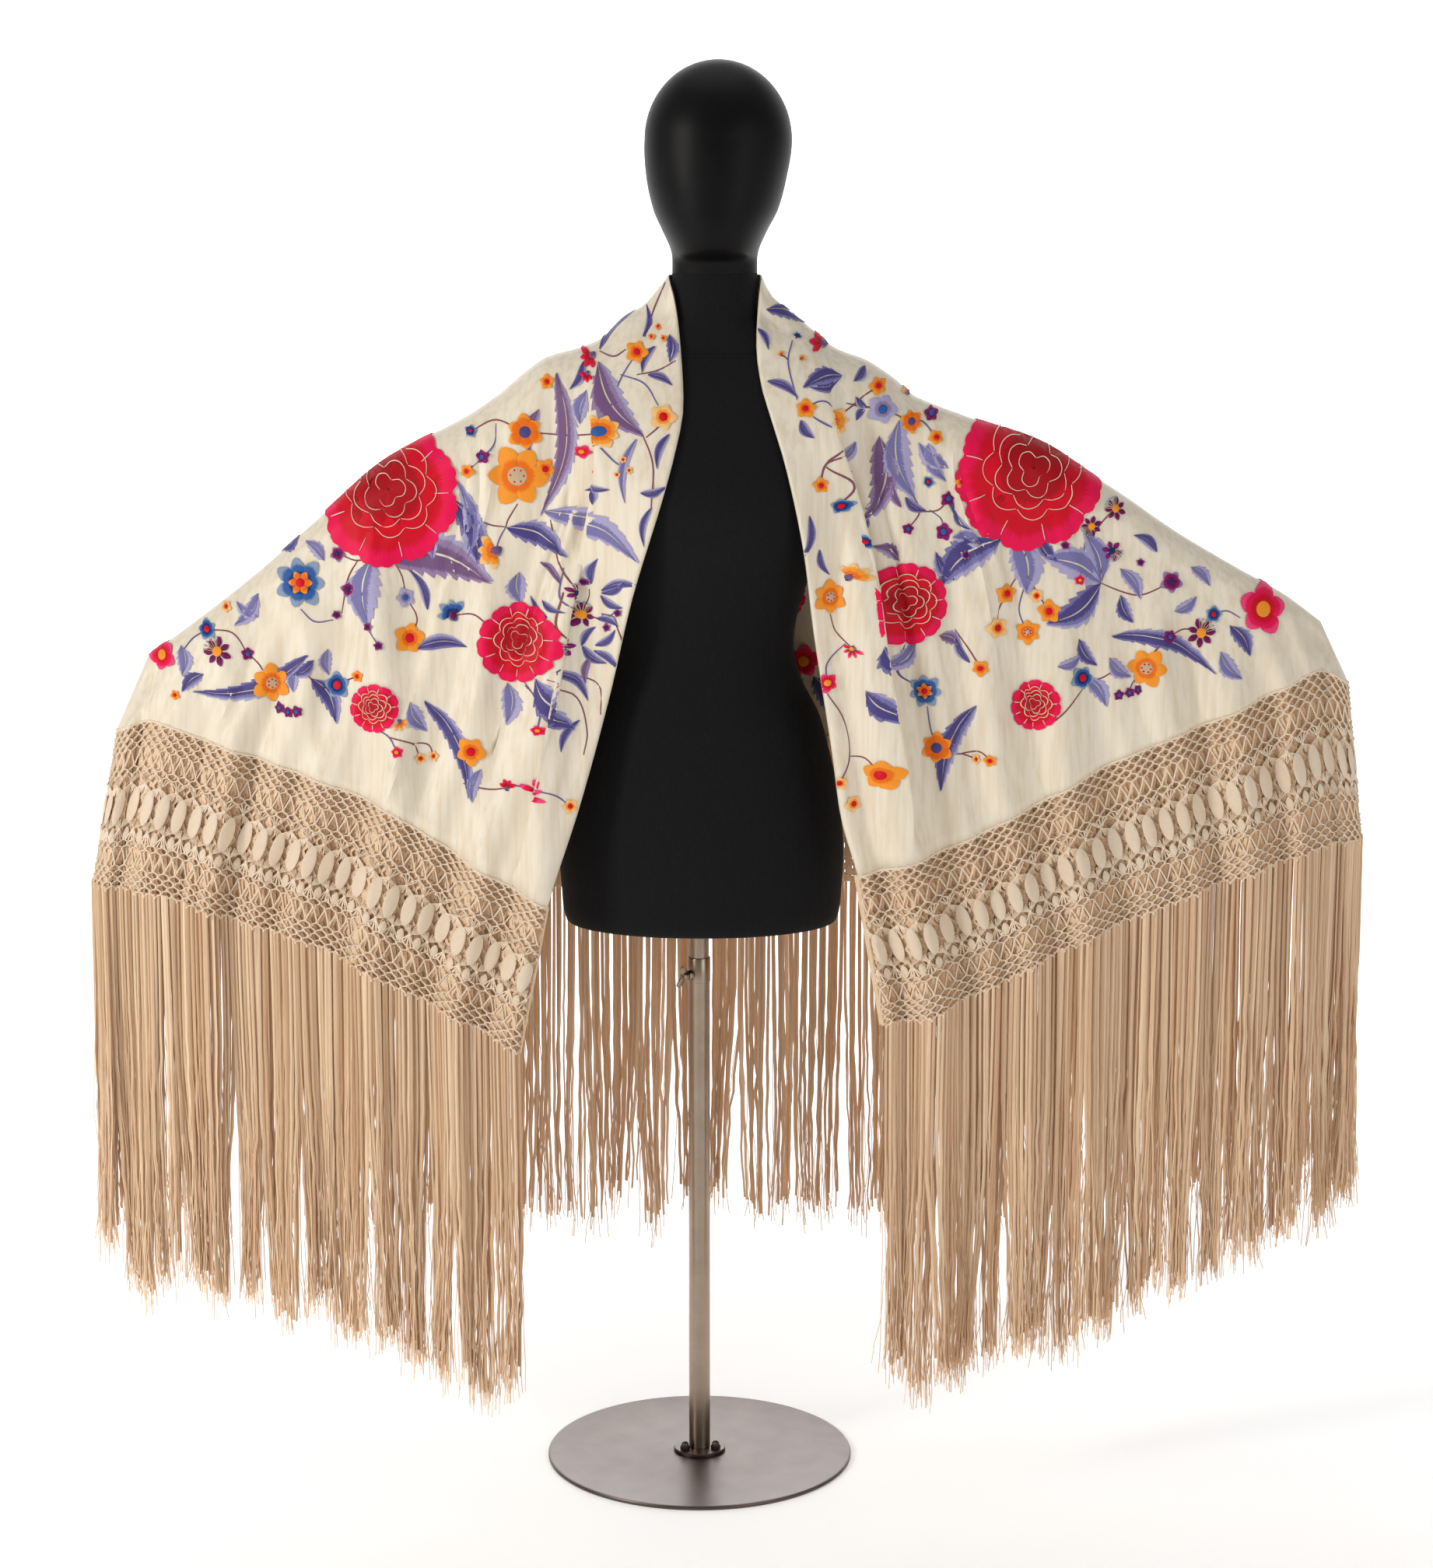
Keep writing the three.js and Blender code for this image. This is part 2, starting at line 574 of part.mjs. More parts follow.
// Stack of rounded rings, closed at both ends.
function ringSolid(rings, sides) {
  const points = [];
  const faces = [];
  for (const ring of rings) {
    for (let k = 0; k < sides; k += 1) {
      const turn = 2 * Math.PI * k / sides;
      const bow = (value) => Math.sign(value) * Math.abs(value) ** (2 / formRound);
      const deep = Math.sin(turn) < 0 ? ring.front : ring.back;
      points.push(ring.over + ring.wide * bow(Math.cos(turn)), deep * bow(Math.sin(turn)), ring.up);
    }
  }
  const lastRing = (rings.length - 1) * sides;
  for (let i = 0; i < lastRing; i += sides) {
    for (let k = 0; k < sides; k += 1) {
      const next = (k + 1) % sides;
      faces.push(i + k, i + next, i + sides + k, i + next, i + sides + next, i + sides + k);
    }
  }
  for (let k = 1; k < sides - 1; k += 1) {
    faces.push(0, k + 1, k, lastRing, lastRing + k, lastRing + k + 1);
  }
  const geometry = new THREE.BufferGeometry();
  geometry.setAttribute('position', new THREE.Float32BufferAttribute(points, 3));
  geometry.setIndex(faces);
  return geometry;
}

// Turned solid round the mast's axis from a profile of [radius, height] pairs.
function turned(profile, sides) {
  const geometry = new THREE.LatheGeometry(profile.map(([r, z]) => new THREE.Vector2(r, z)), sides);
  geometry.rotateX(Math.PI / 2);
  geometry.deleteAttribute('normal');
  geometry.deleteAttribute('uv');
  const merged = mergeVertices(geometry, 1e-4);
  return volumeOf(merged) < 0 ? turnedOut(merged) : merged;
}

function rod(radius, from, to, sides) {
  return new THREE.CylinderGeometry(radius, radius, to - from, sides).rotateX(Math.PI / 2)
    .translate(0, 0, (from + to) / 2);
}

// Lower tube with the boss that the clamp screw turns in.
function lowerTube(from) {
  const collarFoot = mastTop - collarTall;
  const collarRadius = outerRadius + 0.5;
  const tube = turned([[boreRadius, from], [outerRadius, from], [outerRadius, collarFoot],
    [collarRadius, collarFoot], [collarRadius, mastTop], [boreRadius, mastTop],
    [boreRadius, from]], 24);
  const boss = new THREE.CylinderGeometry(bossRadius, bossRadius, bossLong, 16);
  boss.rotateX(Math.PI / 2).rotateY(Math.PI / 2);
  boss.translate(outerRadius + bossLong / 2 - 1, 0, screwHeight);
  boss.rotateZ(THREE.MathUtils.degToRad(screwTurn));
  const clear = rod(boreRadius + 0.3, 0, mastTop + 9, 24);
  return geometryOf(solidOf(tube).add(solidOf(boss).subtract(solidOf(clear))));
}

// Clamp screw: a round hub with two flat wings.
function wingScrew() {
  const start = outerRadius + bossLong - 1 + seamGap;
  const hub = new THREE.CylinderGeometry(4.2, 4.6, 8, 16).rotateZ(-Math.PI / 2);
  hub.translate(start + 4, 0, 0);
  const outline = new THREE.Shape();
  outline.moveTo(start + 3, -3);
  outline.bezierCurveTo(start + 4, -9, start + 9, -15, start + 13, -14);
  outline.bezierCurveTo(start + 17, -12, start + 13, -4, start + 9, 0);
  outline.bezierCurveTo(start + 13, 4, start + 17, 12, start + 13, 14);
  outline.bezierCurveTo(start + 9, 15, start + 4, 9, start + 3, 3);
  outline.closePath();
  const wingThick = 2.4;
  const plain = { depth: wingThick, bevelEnabled: false, curveSegments: 6 };
  const wings = new THREE.ExtrudeGeometry(outline, plain);
  wings.translate(0, 0, -wingThick / 2);
  wings.rotateX(THREE.MathUtils.degToRad(18));
  const screw = geometryOf(solidOf(hub).add(solidOf(wings)));
  return screw.rotateZ(THREE.MathUtils.degToRad(screwTurn)).translate(0, 0, screwHeight);
}

// Acorn nut: six flats under a dome.
function acornNut() {
  const flats = rod(6, 0, 4, 6);
  const dome = turned([[0, 3.5], [4.6, 3.5], [4.6, 5.5], [3.4, 8.2], [1.5, 9.6], [0, 10]], 12);
  return geometryOf(solidOf(flats).add(solidOf(dome)));
}

// Finishes
const finish = {
  silk: { color: 0xece1c8, roughness: 0.5, metalness: 0 },
  macrame: { color: 0xe1c8a5, roughness: 0.75, metalness: 0 },
  fringe: { color: 0xcdaa82, roughness: 0.6, metalness: 0 },
  jersey: { color: 0x121214, roughness: 0.85, metalness: 0 },
  head: { color: 0x0a0a0a, roughness: 0.45, metalness: 0 },
  nickel: { color: 0x968778, roughness: 0.3, metalness: 1 },
  steel: { color: 0x554b48, roughness: 0.4, metalness: 1 },
};

const group = new THREE.Group();

function add(name, geometry, look) {
  const mesh = new THREE.Mesh(geometry, new THREE.MeshStandardMaterial(finish[look]));
  mesh.name = name;
  group.add(mesh);
  return mesh;
}

// Stand
const flangeUp = baseThick + seamGap;
const flangeTop = flangeUp + flangeThick;
add('base_plate', turned([[0, 0], [baseRadius - 1, 0], [baseRadius, 1], [baseRadius, baseThick - 1.5],
  [baseRadius - 2, baseThick], [0, baseThick]], 56), 'steel');
add('base_flange', turned([[0, flangeUp], [flangeRadius, flangeUp], [flangeRadius, flangeTop - 1],
  [flangeRadius - 1, flangeTop], [0, flangeTop]], 28), 'steel');
nutAngles.forEach((angle, i) => {
  const turn = THREE.MathUtils.degToRad(angle);
  const nut = add(`flange_nut_${i + 1}`, acornNut(), 'steel');
  nut.position.set(nutCircle * Math.cos(turn), nutCircle * Math.sin(turn), flangeTop + seamGap);
});
add('mast_lower', lowerTube(flangeTop + seamGap), 'nickel');
const formFoot = formRings[0].up;
add('mast_upper', turned([[innerBore, mastTop - innerInsert], [innerRadius, mastTop - innerInsert],
  [innerRadius, formFoot - seamGap], [innerBore, formFoot - seamGap],
  [innerBore, mastTop - innerInsert]], 24), 'nickel');
add('clamp_screw', wingScrew(), 'nickel');

// Dress form
add('form_torso', ringSolid(formRings, 26), 'jersey');
add('form_head', ringSolid(headRings, 20), 'head');

// Shawl
for (const [name, wing] of [['left', leftWing], ['right', rightWing]]) {
  const columnAt = (share) => frontColumn(wing, share);
  const repeats = 2 * Math.round((wing.tip.hem - wing.hem[0].out + frontSlack) / repeat / 2);
  const bays = repeats / 2;
  add(`silk_${name}_front`, silkPanel(columnAt, repeats, () => true, [repeats]), 'silk');
  add(`macrame_${name}_front`, bandPanel(columnAt, repeats, true, [repeats]), 'macrame');
  const endUp = (x) => curve(wing.ends, 'out', 'up', Math.abs(x));
  add(`fringe_${name}_front`, fringe(columnAt, bays, frontStrands[name], endUp, [bays]), 'fringe');
}
const backWide = leftWing.tip.hem + rightWing.tip.hem + backSlack;
const backRepeats = 2 * Math.round(backWide / backRepeat / 2);
const backBays = backRepeats / 2;
const napeStart = 0.5 - 0.5 * napeShare * tipShare / tipStart;
const awayFromNape = (a) => Math.abs(a / backRepeats - 0.5) > 0.5 - napeStart;
const backTips = [0, backRepeats];
add('silk_back', silkPanel(backColumn, backRepeats, awayFromNape, backTips), 'silk');
add('macrame_back', bandPanel(backColumn, backRepeats, false, backTips), 'macrame');
const backEnd = (x) => curve(backPanel.ends, 'across', 'up', x);
add('fringe_back', fringe(backColumn, backBays, backStrands, backEnd, [0, backBays]), 'fringe');

export default group;
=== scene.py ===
# An embroidered silk flamenco shawl with a knotted band and fringe, over a black dress form
# without limbs on a telescopic stand. Shapes are worked out in millimetres.
from types import SimpleNamespace

import bmesh
import bpy
import numpy as np
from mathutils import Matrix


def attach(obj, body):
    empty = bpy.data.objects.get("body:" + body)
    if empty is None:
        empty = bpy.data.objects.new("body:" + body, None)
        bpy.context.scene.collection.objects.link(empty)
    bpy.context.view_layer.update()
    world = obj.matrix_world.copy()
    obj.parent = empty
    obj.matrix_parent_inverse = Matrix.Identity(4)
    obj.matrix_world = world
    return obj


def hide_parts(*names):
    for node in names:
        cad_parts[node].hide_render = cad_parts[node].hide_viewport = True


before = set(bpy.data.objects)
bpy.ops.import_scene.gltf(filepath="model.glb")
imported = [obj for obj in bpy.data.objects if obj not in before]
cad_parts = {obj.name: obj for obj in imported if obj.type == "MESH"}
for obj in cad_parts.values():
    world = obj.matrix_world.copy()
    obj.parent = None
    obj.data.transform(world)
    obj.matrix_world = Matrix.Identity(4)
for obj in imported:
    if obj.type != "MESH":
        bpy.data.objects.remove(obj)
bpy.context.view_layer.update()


# Dress form
# A hollow moulded torso without limbs, its black jersey drawn tight and closed by a ring seam
# at the root of the neck. The head is a bare egg of smooth satin black on a short neck.
form_round = 2.15
torso_low, neck_top = 679, 1455
head_widest, head_top, head_middle = 1608, 1700, 23
torso_sides, head_sides = 96, 72
torso_rings = np.array([  # height, shift sideways, half width, front, back
    [torso_low, 3, 150, 100, 104], [683, 3, 163, 112, 116], [723, 3, 169, 116, 122],
    [772, 3, 171, 117, 128], [823, 3, 166, 114, 127], [872, 4, 156, 109, 119],
    [932, 5, 139, 101, 103], [972, 5, 119, 95, 92], [1015, 6, 107, 92, 84],
    [1060, 7, 112, 94, 82], [1110, 8, 128, 103, 86], [1160, 10, 146, 115, 92],
    [1205, 11, 162, 119, 97], [1250, 13, 178, 105, 95], [1295, 14, 187, 86, 85],
    [1325, 15, 186, 72, 75], [1342, 16, 174, 63, 66], [1360, 16, 140, 55, 57],
    [1376, 17, 110, 51, 55], [1390, 17, 74, 49, 53], [1404, 18, 52, 48.5, 50],
    [neck_top, 19, 50, 48, 49],
])
head_rings = np.array([
    [neck_top + 0.3, 19, 50, 48, 49], [1472, 19, 50, 55, 50], [1479, 19, 51, 78, 52],
    [1488, 19, 54, 88, 58], [1505, 19, 62, 96, 70], [1528, 20, 73, 100, 82],
    [1565, 21, 82, 102, 94], [1608, 23, 86, 100, 99], [1645, 23, 79, 90, 92],
    [1675, 22, 59, 66, 70], [1692, 22, 36, 40, 43], [1700, 22, 12, 13, 14],
])


def curve(rows, place):
    """Value at a place on a smooth curve through (place, value) rows: a cubic between each two
    rows, whose slope at a row is that between the rows beside it, and level past the ends."""
    at, value = np.array(rows, float).T
    if at[0] > at[-1]:
        at, value = at[::-1], value[::-1]
    slope = np.empty_like(value)
    slope[1:-1] = (value[2:] - value[:-2]) / (at[2:] - at[:-2])
    slope[0] = (value[1] - value[0]) / (at[1] - at[0])
    slope[-1] = (value[-1] - value[-2]) / (at[-1] - at[-2])
    i = np.clip(np.searchsorted(at, place) - 1, 0, len(at) - 2)
    step = at[i + 1] - at[i]
    u = np.clip((place - at[i]) / step, 0, 1)
    ease = u * u * (3 - 2 * u)
    bend = step * u * (1 - u) * ((1 - u) * slope[i] - u * slope[i + 1])
    return value[i] + (value[i + 1] - value[i]) * ease + bend


def ring_surface(rings, heights, sides):
    """Rounded rings at the heights: x = shift + width * cos^p, y = depth * sin^p, where p gives
    the rounding and the depth is that of the front or of the back."""
    shift, wide, front, back = (curve(rings[:, [0, k]], heights)[:, None] for k in (1, 2, 3, 4))
    turn = np.linspace(0, 2 * np.pi, sides, endpoint=False)[None, :]
    across = np.sign(np.cos(turn)) * np.abs(np.cos(turn)) ** (2 / form_round)
    outward = np.sign(np.sin(turn)) * np.abs(np.sin(turn)) ** (2 / form_round)
    deep = np.where(outward < 0, front, back)
    x, y, z = np.broadcast_arrays(shift + wide * across, deep * outward, heights[:, None])
    return np.stack([x, y, z], -1)


def grid_faces(rows, columns, around=False):
    """Quads between the rows of a grid of points, closed where each row is a ring."""
    index = np.arange(rows * columns).reshape(rows, columns)
    if around:
        index = np.column_stack([index, index[:, :1]])
    return np.stack([index[:-1, :-1], index[:-1, 1:], index[1:, 1:], index[1:, :-1]], -1).reshape(-1, 4)


def end_caps(rows, columns):
    """One face over the first ring of a grid of rings and one over the last."""
    first = np.arange(columns)[None, ::-1]
    return [first, (rows - 1) * columns + np.arange(columns)[None, :]]


def make_piece(name, points, faces, finish, body, nodes=(), weld=None, uv=None, tones=None):
    """Smooth mesh piece from points in millimetres and arrays of faces, which rides on a body
    in place of its nodes. uv and tones give each point a place and a colour or number."""
    mesh = bpy.data.meshes.new(name)
    mesh.vertices.add(len(points))
    mesh.vertices.foreach_set("co", (points / 1000).astype(np.float32).ravel())
    faces = faces if isinstance(faces, list) else [faces]
    corners = np.concatenate([f.ravel() for f in faces])
    sizes = np.concatenate([np.full(len(f), f.shape[1]) for f in faces])
    mesh.loops.add(len(corners))
    mesh.loops.foreach_set("vertex_index", corners)
    mesh.polygons.add(len(sizes))
    mesh.polygons.foreach_set("loop_start", np.concatenate([[0], np.cumsum(sizes)[:-1]]))
    mesh.update(calc_edges=True)
    if uv is not None:
        mesh.uv_layers.new(name="UVMap").data.foreach_set("uv", uv[corners].astype(np.float32).ravel())
    for tone, values in (tones or {}).items():
        kind, field = ("FLOAT_VECTOR", "vector") if values.ndim == 2 else ("FLOAT", "value")
        layer = mesh.attributes.new(tone, kind, "POINT")
        layer.data.foreach_set(field, values.astype(np.float32).ravel())
    if weld is not None:
        body_mesh = bmesh.new()
        body_mesh.from_mesh(mesh)
        bmesh.ops.remove_doubles(body_mesh, verts=body_mesh.verts, dist=weld / 1000)
        bmesh.ops.recalc_face_normals(body_mesh, faces=body_mesh.faces)
        body_mesh.to_mesh(mesh)
        body_mesh.free()
    mesh.shade_smooth()
    mesh.set_sharp_from_angle(angle=np.radians(40))
    mesh.materials.append(finish)
    piece = bpy.data.objects.new(name, mesh)
    bpy.context.scene.collection.objects.link(piece)
    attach(piece, body)
    if nodes:
        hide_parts(*nodes)
    return piece


class Wire:
    """A number that runs through a finish's nodes; each operator adds one Math node."""

    def __init__(self, finish, socket):
        self.finish, self.socket = finish, socket

    def math(self, operation, *values):
        inputs = dict(enumerate((self,) + values))
        return self.finish.node("Math", {"operation": operation}, inputs)

    def __add__(self, other):
        return self.math("ADD", other)

    def __sub__(self, other):
        return self.math("SUBTRACT", other)

    def __rsub__(self, other):
        return self.finish.node("Math", {"operation": "SUBTRACT"}, {0: other, 1: self})

    def __mul__(self, other):
        return self.math("MULTIPLY", other)

    def __pow__(self, other):
        return self.math("POWER", other)

    __radd__ = __add__
    __rmul__ = __mul__

    def step(self, low, high):
        """0 below low, 1 above high, and smooth between."""
        settings = {"interpolation_type": "SMOOTHSTEP"}
        return self.finish.node("MapRange", settings, {"Value": self, "From Min": low, "From Max": high})


class Finish:
    """A material as it is mixed. node() adds any node, from its settings and its inputs."""

    def __init__(self, name):
        self.material = bpy.data.materials.new(name)
        self.material.use_nodes = True
        self.tree = self.material.node_tree
        self.tree.nodes.clear()

    def node(self, kind, settings=None, inputs=None, output=0):
        made = self.tree.nodes.new("ShaderNode" + kind)
        for name, value in (settings or {}).items():
            setattr(made, name, value)
        for name, value in (inputs or {}).items():
            if isinstance(value, Wire):
                self.tree.links.new(value.socket, made.inputs[name])
            else:
                made.inputs[name].default_value = value
        return Wire(self, made.outputs[output])

    def place(self, stretch=(1, 1, 1)):
        """Object coordinates in millimetres, stretched along each axis."""
        at = self.node("TexCoord", output="Object")
        scale = tuple(1000 * k for k in stretch)
        return self.node("Mapping", {"vector_type": "POINT"}, {"Vector": at, "Scale": scale})

    def lanes(self):
        """The two places of the UV map, as two numbers."""
        parts = self.node("SeparateXYZ", {}, {"Vector": self.node("UVMap", {"uv_map": "UVMap"})})
        return parts, Wire(self, parts.socket.node.outputs["Y"])

    def noise(self, size, at, detail=3, rough=0.55):
        """Cloudy noise from 0 to 1 whose blots are about size millimetres."""
        inputs = {"Vector": at, "Scale": 1 / size, "Detail": detail, "Roughness": rough}
        return self.node("TexNoise", {}, inputs)

    def blend(self, share, first, second):
        """Colour that goes from first to second as share goes from 0 to 1."""
        settings = {"data_type": "RGBA", "clamp_factor": True}
        return self.node("Mix", settings, {0: share, 6: first, 7: second}, 2)

    def bump(self, height, deep, strength=1.0):
        """Normal of a surface that rises deep millimetres as height goes from 0 to 1."""
        return self.node("Bump", {}, {"Height": height, "Distance": deep / 1000, "Strength": strength})

    def skin(self, colour, roughness, normal=None, **fixed):
        """Closes the material with one surface shader; fixed holds its constant values."""
        inputs = {"Base Color": colour, "Roughness": roughness}
        if normal is not None:
            inputs["Normal"] = normal
        inputs |= {name.replace("_", " "): value for name, value in fixed.items()}
        shader = self.node("BsdfPrincipled", {}, inputs)
        out = self.tree.nodes.new("ShaderNodeOutputMaterial")
        self.tree.links.new(shader.socket, out.inputs["Surface"])
        return self.material


def paint(red, green, blue):
    """Linear colour of a paint given as it shows on a screen, from 0 to 255."""
    share = np.array([red, green, blue]) / 255
    linear = np.where(share < 0.04045, share / 12.92, ((share + 0.055) / 1.055) ** 2.4)
    return (*linear, 1.0)


jersey = Finish("jersey")
ribs = jersey.node("TexWave", {"bands_direction": "X", "wave_profile": "SIN"},
                   {"Vector": jersey.place((1, 0.6, 0)), "Scale": 0.22, "Distortion": 0.4})
nap = jersey.noise(1.4, jersey.place(), detail=4)
jersey_shade = jersey.blend(nap.step(0.3, 0.8), paint(6, 6, 8), paint(17, 17, 20))
jersey_finish = jersey.skin(jersey_shade, 0.88, jersey.bump(ribs * 0.6 + nap * 0.4, 0.35, 0.7),
                            Specular_IOR_Level=0.22, Sheen_Weight=0.06, Sheen_Roughness=0.5)

satin = Finish("satin black")
orange_peel = satin.noise(3, satin.place(), detail=2)
smudge = satin.noise(46, satin.place(), detail=4)
satin_finish = satin.skin(satin.blend(smudge.step(0.35, 0.75), paint(4, 4, 5), paint(10, 10, 11)),
                          0.42 + 0.12 * smudge, satin.bump(orange_peel, 0.12, 0.5),
                          Specular_IOR_Level=0.15)

rounded_rim = torso_low + np.array([0, 0.6, 1.6, 3])
torso_heights = np.concatenate([rounded_rim, np.linspace(torso_low + 5, neck_top, 92)])
torso_points = ring_surface(torso_rings, torso_heights, torso_sides)
torso_faces = [grid_faces(len(torso_heights), torso_sides, True)]
torso_faces += end_caps(len(torso_heights), torso_sides)
make_piece("torso", torso_points.reshape(-1, 3), torso_faces, jersey_finish, "form",
           ["form_torso"])

crown_turn = np.radians(np.linspace(0, 89, 30))[1:]
side_heights = np.linspace(neck_top + 0.3, head_widest, 40)
crown_heights = head_widest + (head_top - head_widest) * np.sin(crown_turn)
head_heights = np.concatenate([side_heights, crown_heights])
head_points = ring_surface(head_rings, np.minimum(head_heights, head_widest), head_sides)
shrink = np.concatenate([np.ones(len(side_heights)), np.cos(crown_turn)])[:, None]
head_points[..., 0] = head_middle + (head_points[..., 0] - head_middle) * shrink
head_points[..., 1] *= shrink
head_points[..., 2] = head_heights[:, None]
head_faces = [grid_faces(len(head_heights), head_sides, True), *end_caps(len(head_heights), head_sides)]
make_piece("head", head_points.reshape(-1, 3), head_faces, satin_finish, "form", ["form_head"])


def cord_surface(paths, radius, sides=4, facing=(0, 1, 0)):
    """Tubes round many paths at once: at each point a ring of the given radius, square to the
    path. Returns points, faces with closed ends, and (round, along) places in millimetres."""
    count, steps = paths.shape[:2]
    ahead = np.gradient(paths, axis=1)
    ahead /= np.linalg.norm(ahead, axis=-1, keepdims=True) + 1e-9
    beside = np.cross(ahead, np.broadcast_to(np.array(facing, float), paths.shape))
    beside /= np.linalg.norm(beside, axis=-1, keepdims=True) + 1e-9
    above = np.cross(beside, ahead)
    turn = 2 * np.pi * (np.arange(sides) + 0.5) / sides
    radius = np.broadcast_to(radius, (count, steps))[..., None, None]
    ring = beside[:, :, None] * np.cos(turn)[:, None] + above[:, :, None] * np.sin(turn)[:, None]
    points = paths[:, :, None] + radius * ring
    body = grid_faces(steps, sides, True)
    ends = np.stack([np.arange(sides)[::-1], (steps - 1) * sides + np.arange(sides)])
    offset = steps * sides * np.arange(count)[:, None, None]
    along = np.cumsum(np.linalg.norm(np.diff(paths, axis=1, prepend=paths[:, :1]), axis=-1), 1)
    uv = np.stack(np.broadcast_arrays(turn / (2 * np.pi), along[..., None]), -1)
    return points.reshape(-1, 3), [(body + offset).reshape(-1, 4), (ends + offset).reshape(-1, sides)], \
        uv.reshape(-1, 2)


def ring_seam(rings, height, dip, out, radius, count=160):
    """Cord that lies round the form at a height, lower in front by dip."""
    turn = np.linspace(0, 2 * np.pi, count)
    heights = height - dip * (0.5 - 0.5 * np.sin(turn))
    shift, wide, front, back = (curve(rings[:, [0, k]], heights) for k in (1, 2, 3, 4))
    across = np.sign(np.cos(turn)) * np.abs(np.cos(turn)) ** (2 / form_round)
    outward = np.sign(np.sin(turn)) * np.abs(np.sin(turn)) ** (2 / form_round)
    x = shift + (wide + out) * across
    y = (np.where(outward < 0, front, back) + out) * outward
    return cord_surface(np.stack([x, y, heights], -1)[None], radius, 8, (0, 0, 1))


# The jersey is gathered and bound at the root of the neck, where its seam stands proud.
seam_height, seam_dip, seam_out, seam_radius = 1378, 17, 0.6, 1.1
seam_points, seam_faces, seam_uv = ring_seam(torso_rings, seam_height, seam_dip, seam_out, seam_radius)
make_piece("collar_seam", seam_points, seam_faces, jersey_finish, "form", uv=seam_uv)


# Stand
# A pressed steel base disc, a flange held by three acorn nuts, and two nickel-plated tubes that
# slide in each other and are held by a wing screw through a boss on the lower one.
nut_circle, nut_low, hexagon_tall = 22, 9.6, 4.2
screw_height, screw_angle = 614, np.radians(225)
boss_start, screw_start = 13.2, 20.3
lobe_sides, lobe_tilt, lobe_middle = 40, 0.3, np.array([8, 4])


def turned(profile, sides=96):
    """Surface of a profile of (radius, height) rows, carried once round the mast."""
    profile = np.array(profile, float)
    turn = np.linspace(0, 2 * np.pi, sides, endpoint=False)
    radius, height = profile[:, 0, None], profile[:, 1, None]
    rings = np.stack(np.broadcast_arrays(radius * np.cos(turn), radius * np.sin(turn), height), -1)
    return rings.reshape(-1, 3), grid_faces(len(profile), sides, True)


def along_screw(points, start):
    """Points given as (side, height, out) and laid along the wing screw, from start outwards."""
    outward = np.array([np.cos(screw_angle), np.sin(screw_angle), 0])
    beside = np.array([-np.sin(screw_angle), np.cos(screw_angle), 0])
    upward = np.array([0, 0, 1])
    side, height, out = (points[:, k, None] for k in range(3))
    return (start + out) * outward + side * beside + (screw_height + height) * upward


def smooth_path(points, count):
    """Smooth path of count places through a few known ones."""
    points = np.array(points, float)
    known = np.arange(len(points))
    steps = np.linspace(0, len(points) - 1, count)
    return np.stack([curve(np.column_stack([known, column]), steps) for column in points.T], -1)


def brushed(name, dark, light, streak, grain, rough):
    """Metal with fine brush marks, streak giving how far they run along each axis."""
    metal = Finish(name)
    marks = metal.noise(grain, metal.place(streak), detail=5, rough=0.7)
    tarnish = metal.noise(38, metal.place(), detail=3)
    colour = metal.blend(marks * 0.5 + tarnish * 0.5, paint(*dark), paint(*light))
    return metal.skin(colour, rough + 0.16 * marks, metal.bump(marks, 0.05, 0.6), Metallic=1.0)


metals = {"nickel": brushed("nickel", (126, 108, 92), (186, 170, 152), (1, 1, 0.04), 0.5, 0.22),
          "steel": brushed("steel", (66, 58, 55), (118, 106, 101), (0.1, 1.2, 1), 0.9, 0.3)}


def metal_piece(name, points, faces, slot, body, node):
    """Piece of the stand in place of one node, with its poles merged."""
    make_piece(name, points, faces, metals[slot], body, [node], 0.001)


plate_points, plate_faces = turned([[0, 0], [187, 0], [188, 0.8], [188, 3.4], [187.2, 4.6], [185.6, 5],
                                    [184, 4.7], [90, 4.85], [0, 5]], 160)
metal_piece("base_disc", plate_points, plate_faces, "steel", "base", "base_plate")
flange_points, flange_faces = turned([[0, 5.3], [32, 5.3], [32, 8.2], [31, 9.2], [18, 9.3], [16.5, 9.3],
                                      [0, 9.3]])
metal_piece("flange", flange_points, flange_faces, "steel", "base", "base_flange")

# Acorn nuts: the rows of the turned profile below the dome are drawn in to a hexagon.
nut_profile = [[0, 0], [6, 0], [6, 3.6], [5.4, 4.1], [4.6, 4.3], [4.6, 5.6], [4.3, 6.9], [3.5, 8.3],
               [2.2, 9.4], [1, 9.9], [0, 10]]
for number, angle in enumerate(np.radians([95, 215, 335]), 1):
    nut_points, nut_faces = turned(nut_profile, 48)
    turn = np.arctan2(nut_points[:, 1], nut_points[:, 0])
    flat = np.cos(np.pi / 6) / np.cos((turn % (np.pi / 3)) - np.pi / 6)
    nut_points[:, :2] *= np.where(nut_points[:, 2] < hexagon_tall, flat, 1)[:, None]
    nut_points += [nut_circle * np.cos(angle), nut_circle * np.sin(angle), nut_low]
    metal_piece(f"acorn_nut_{number}", nut_points, nut_faces, "steel", "base", f"flange_nut_{number}")

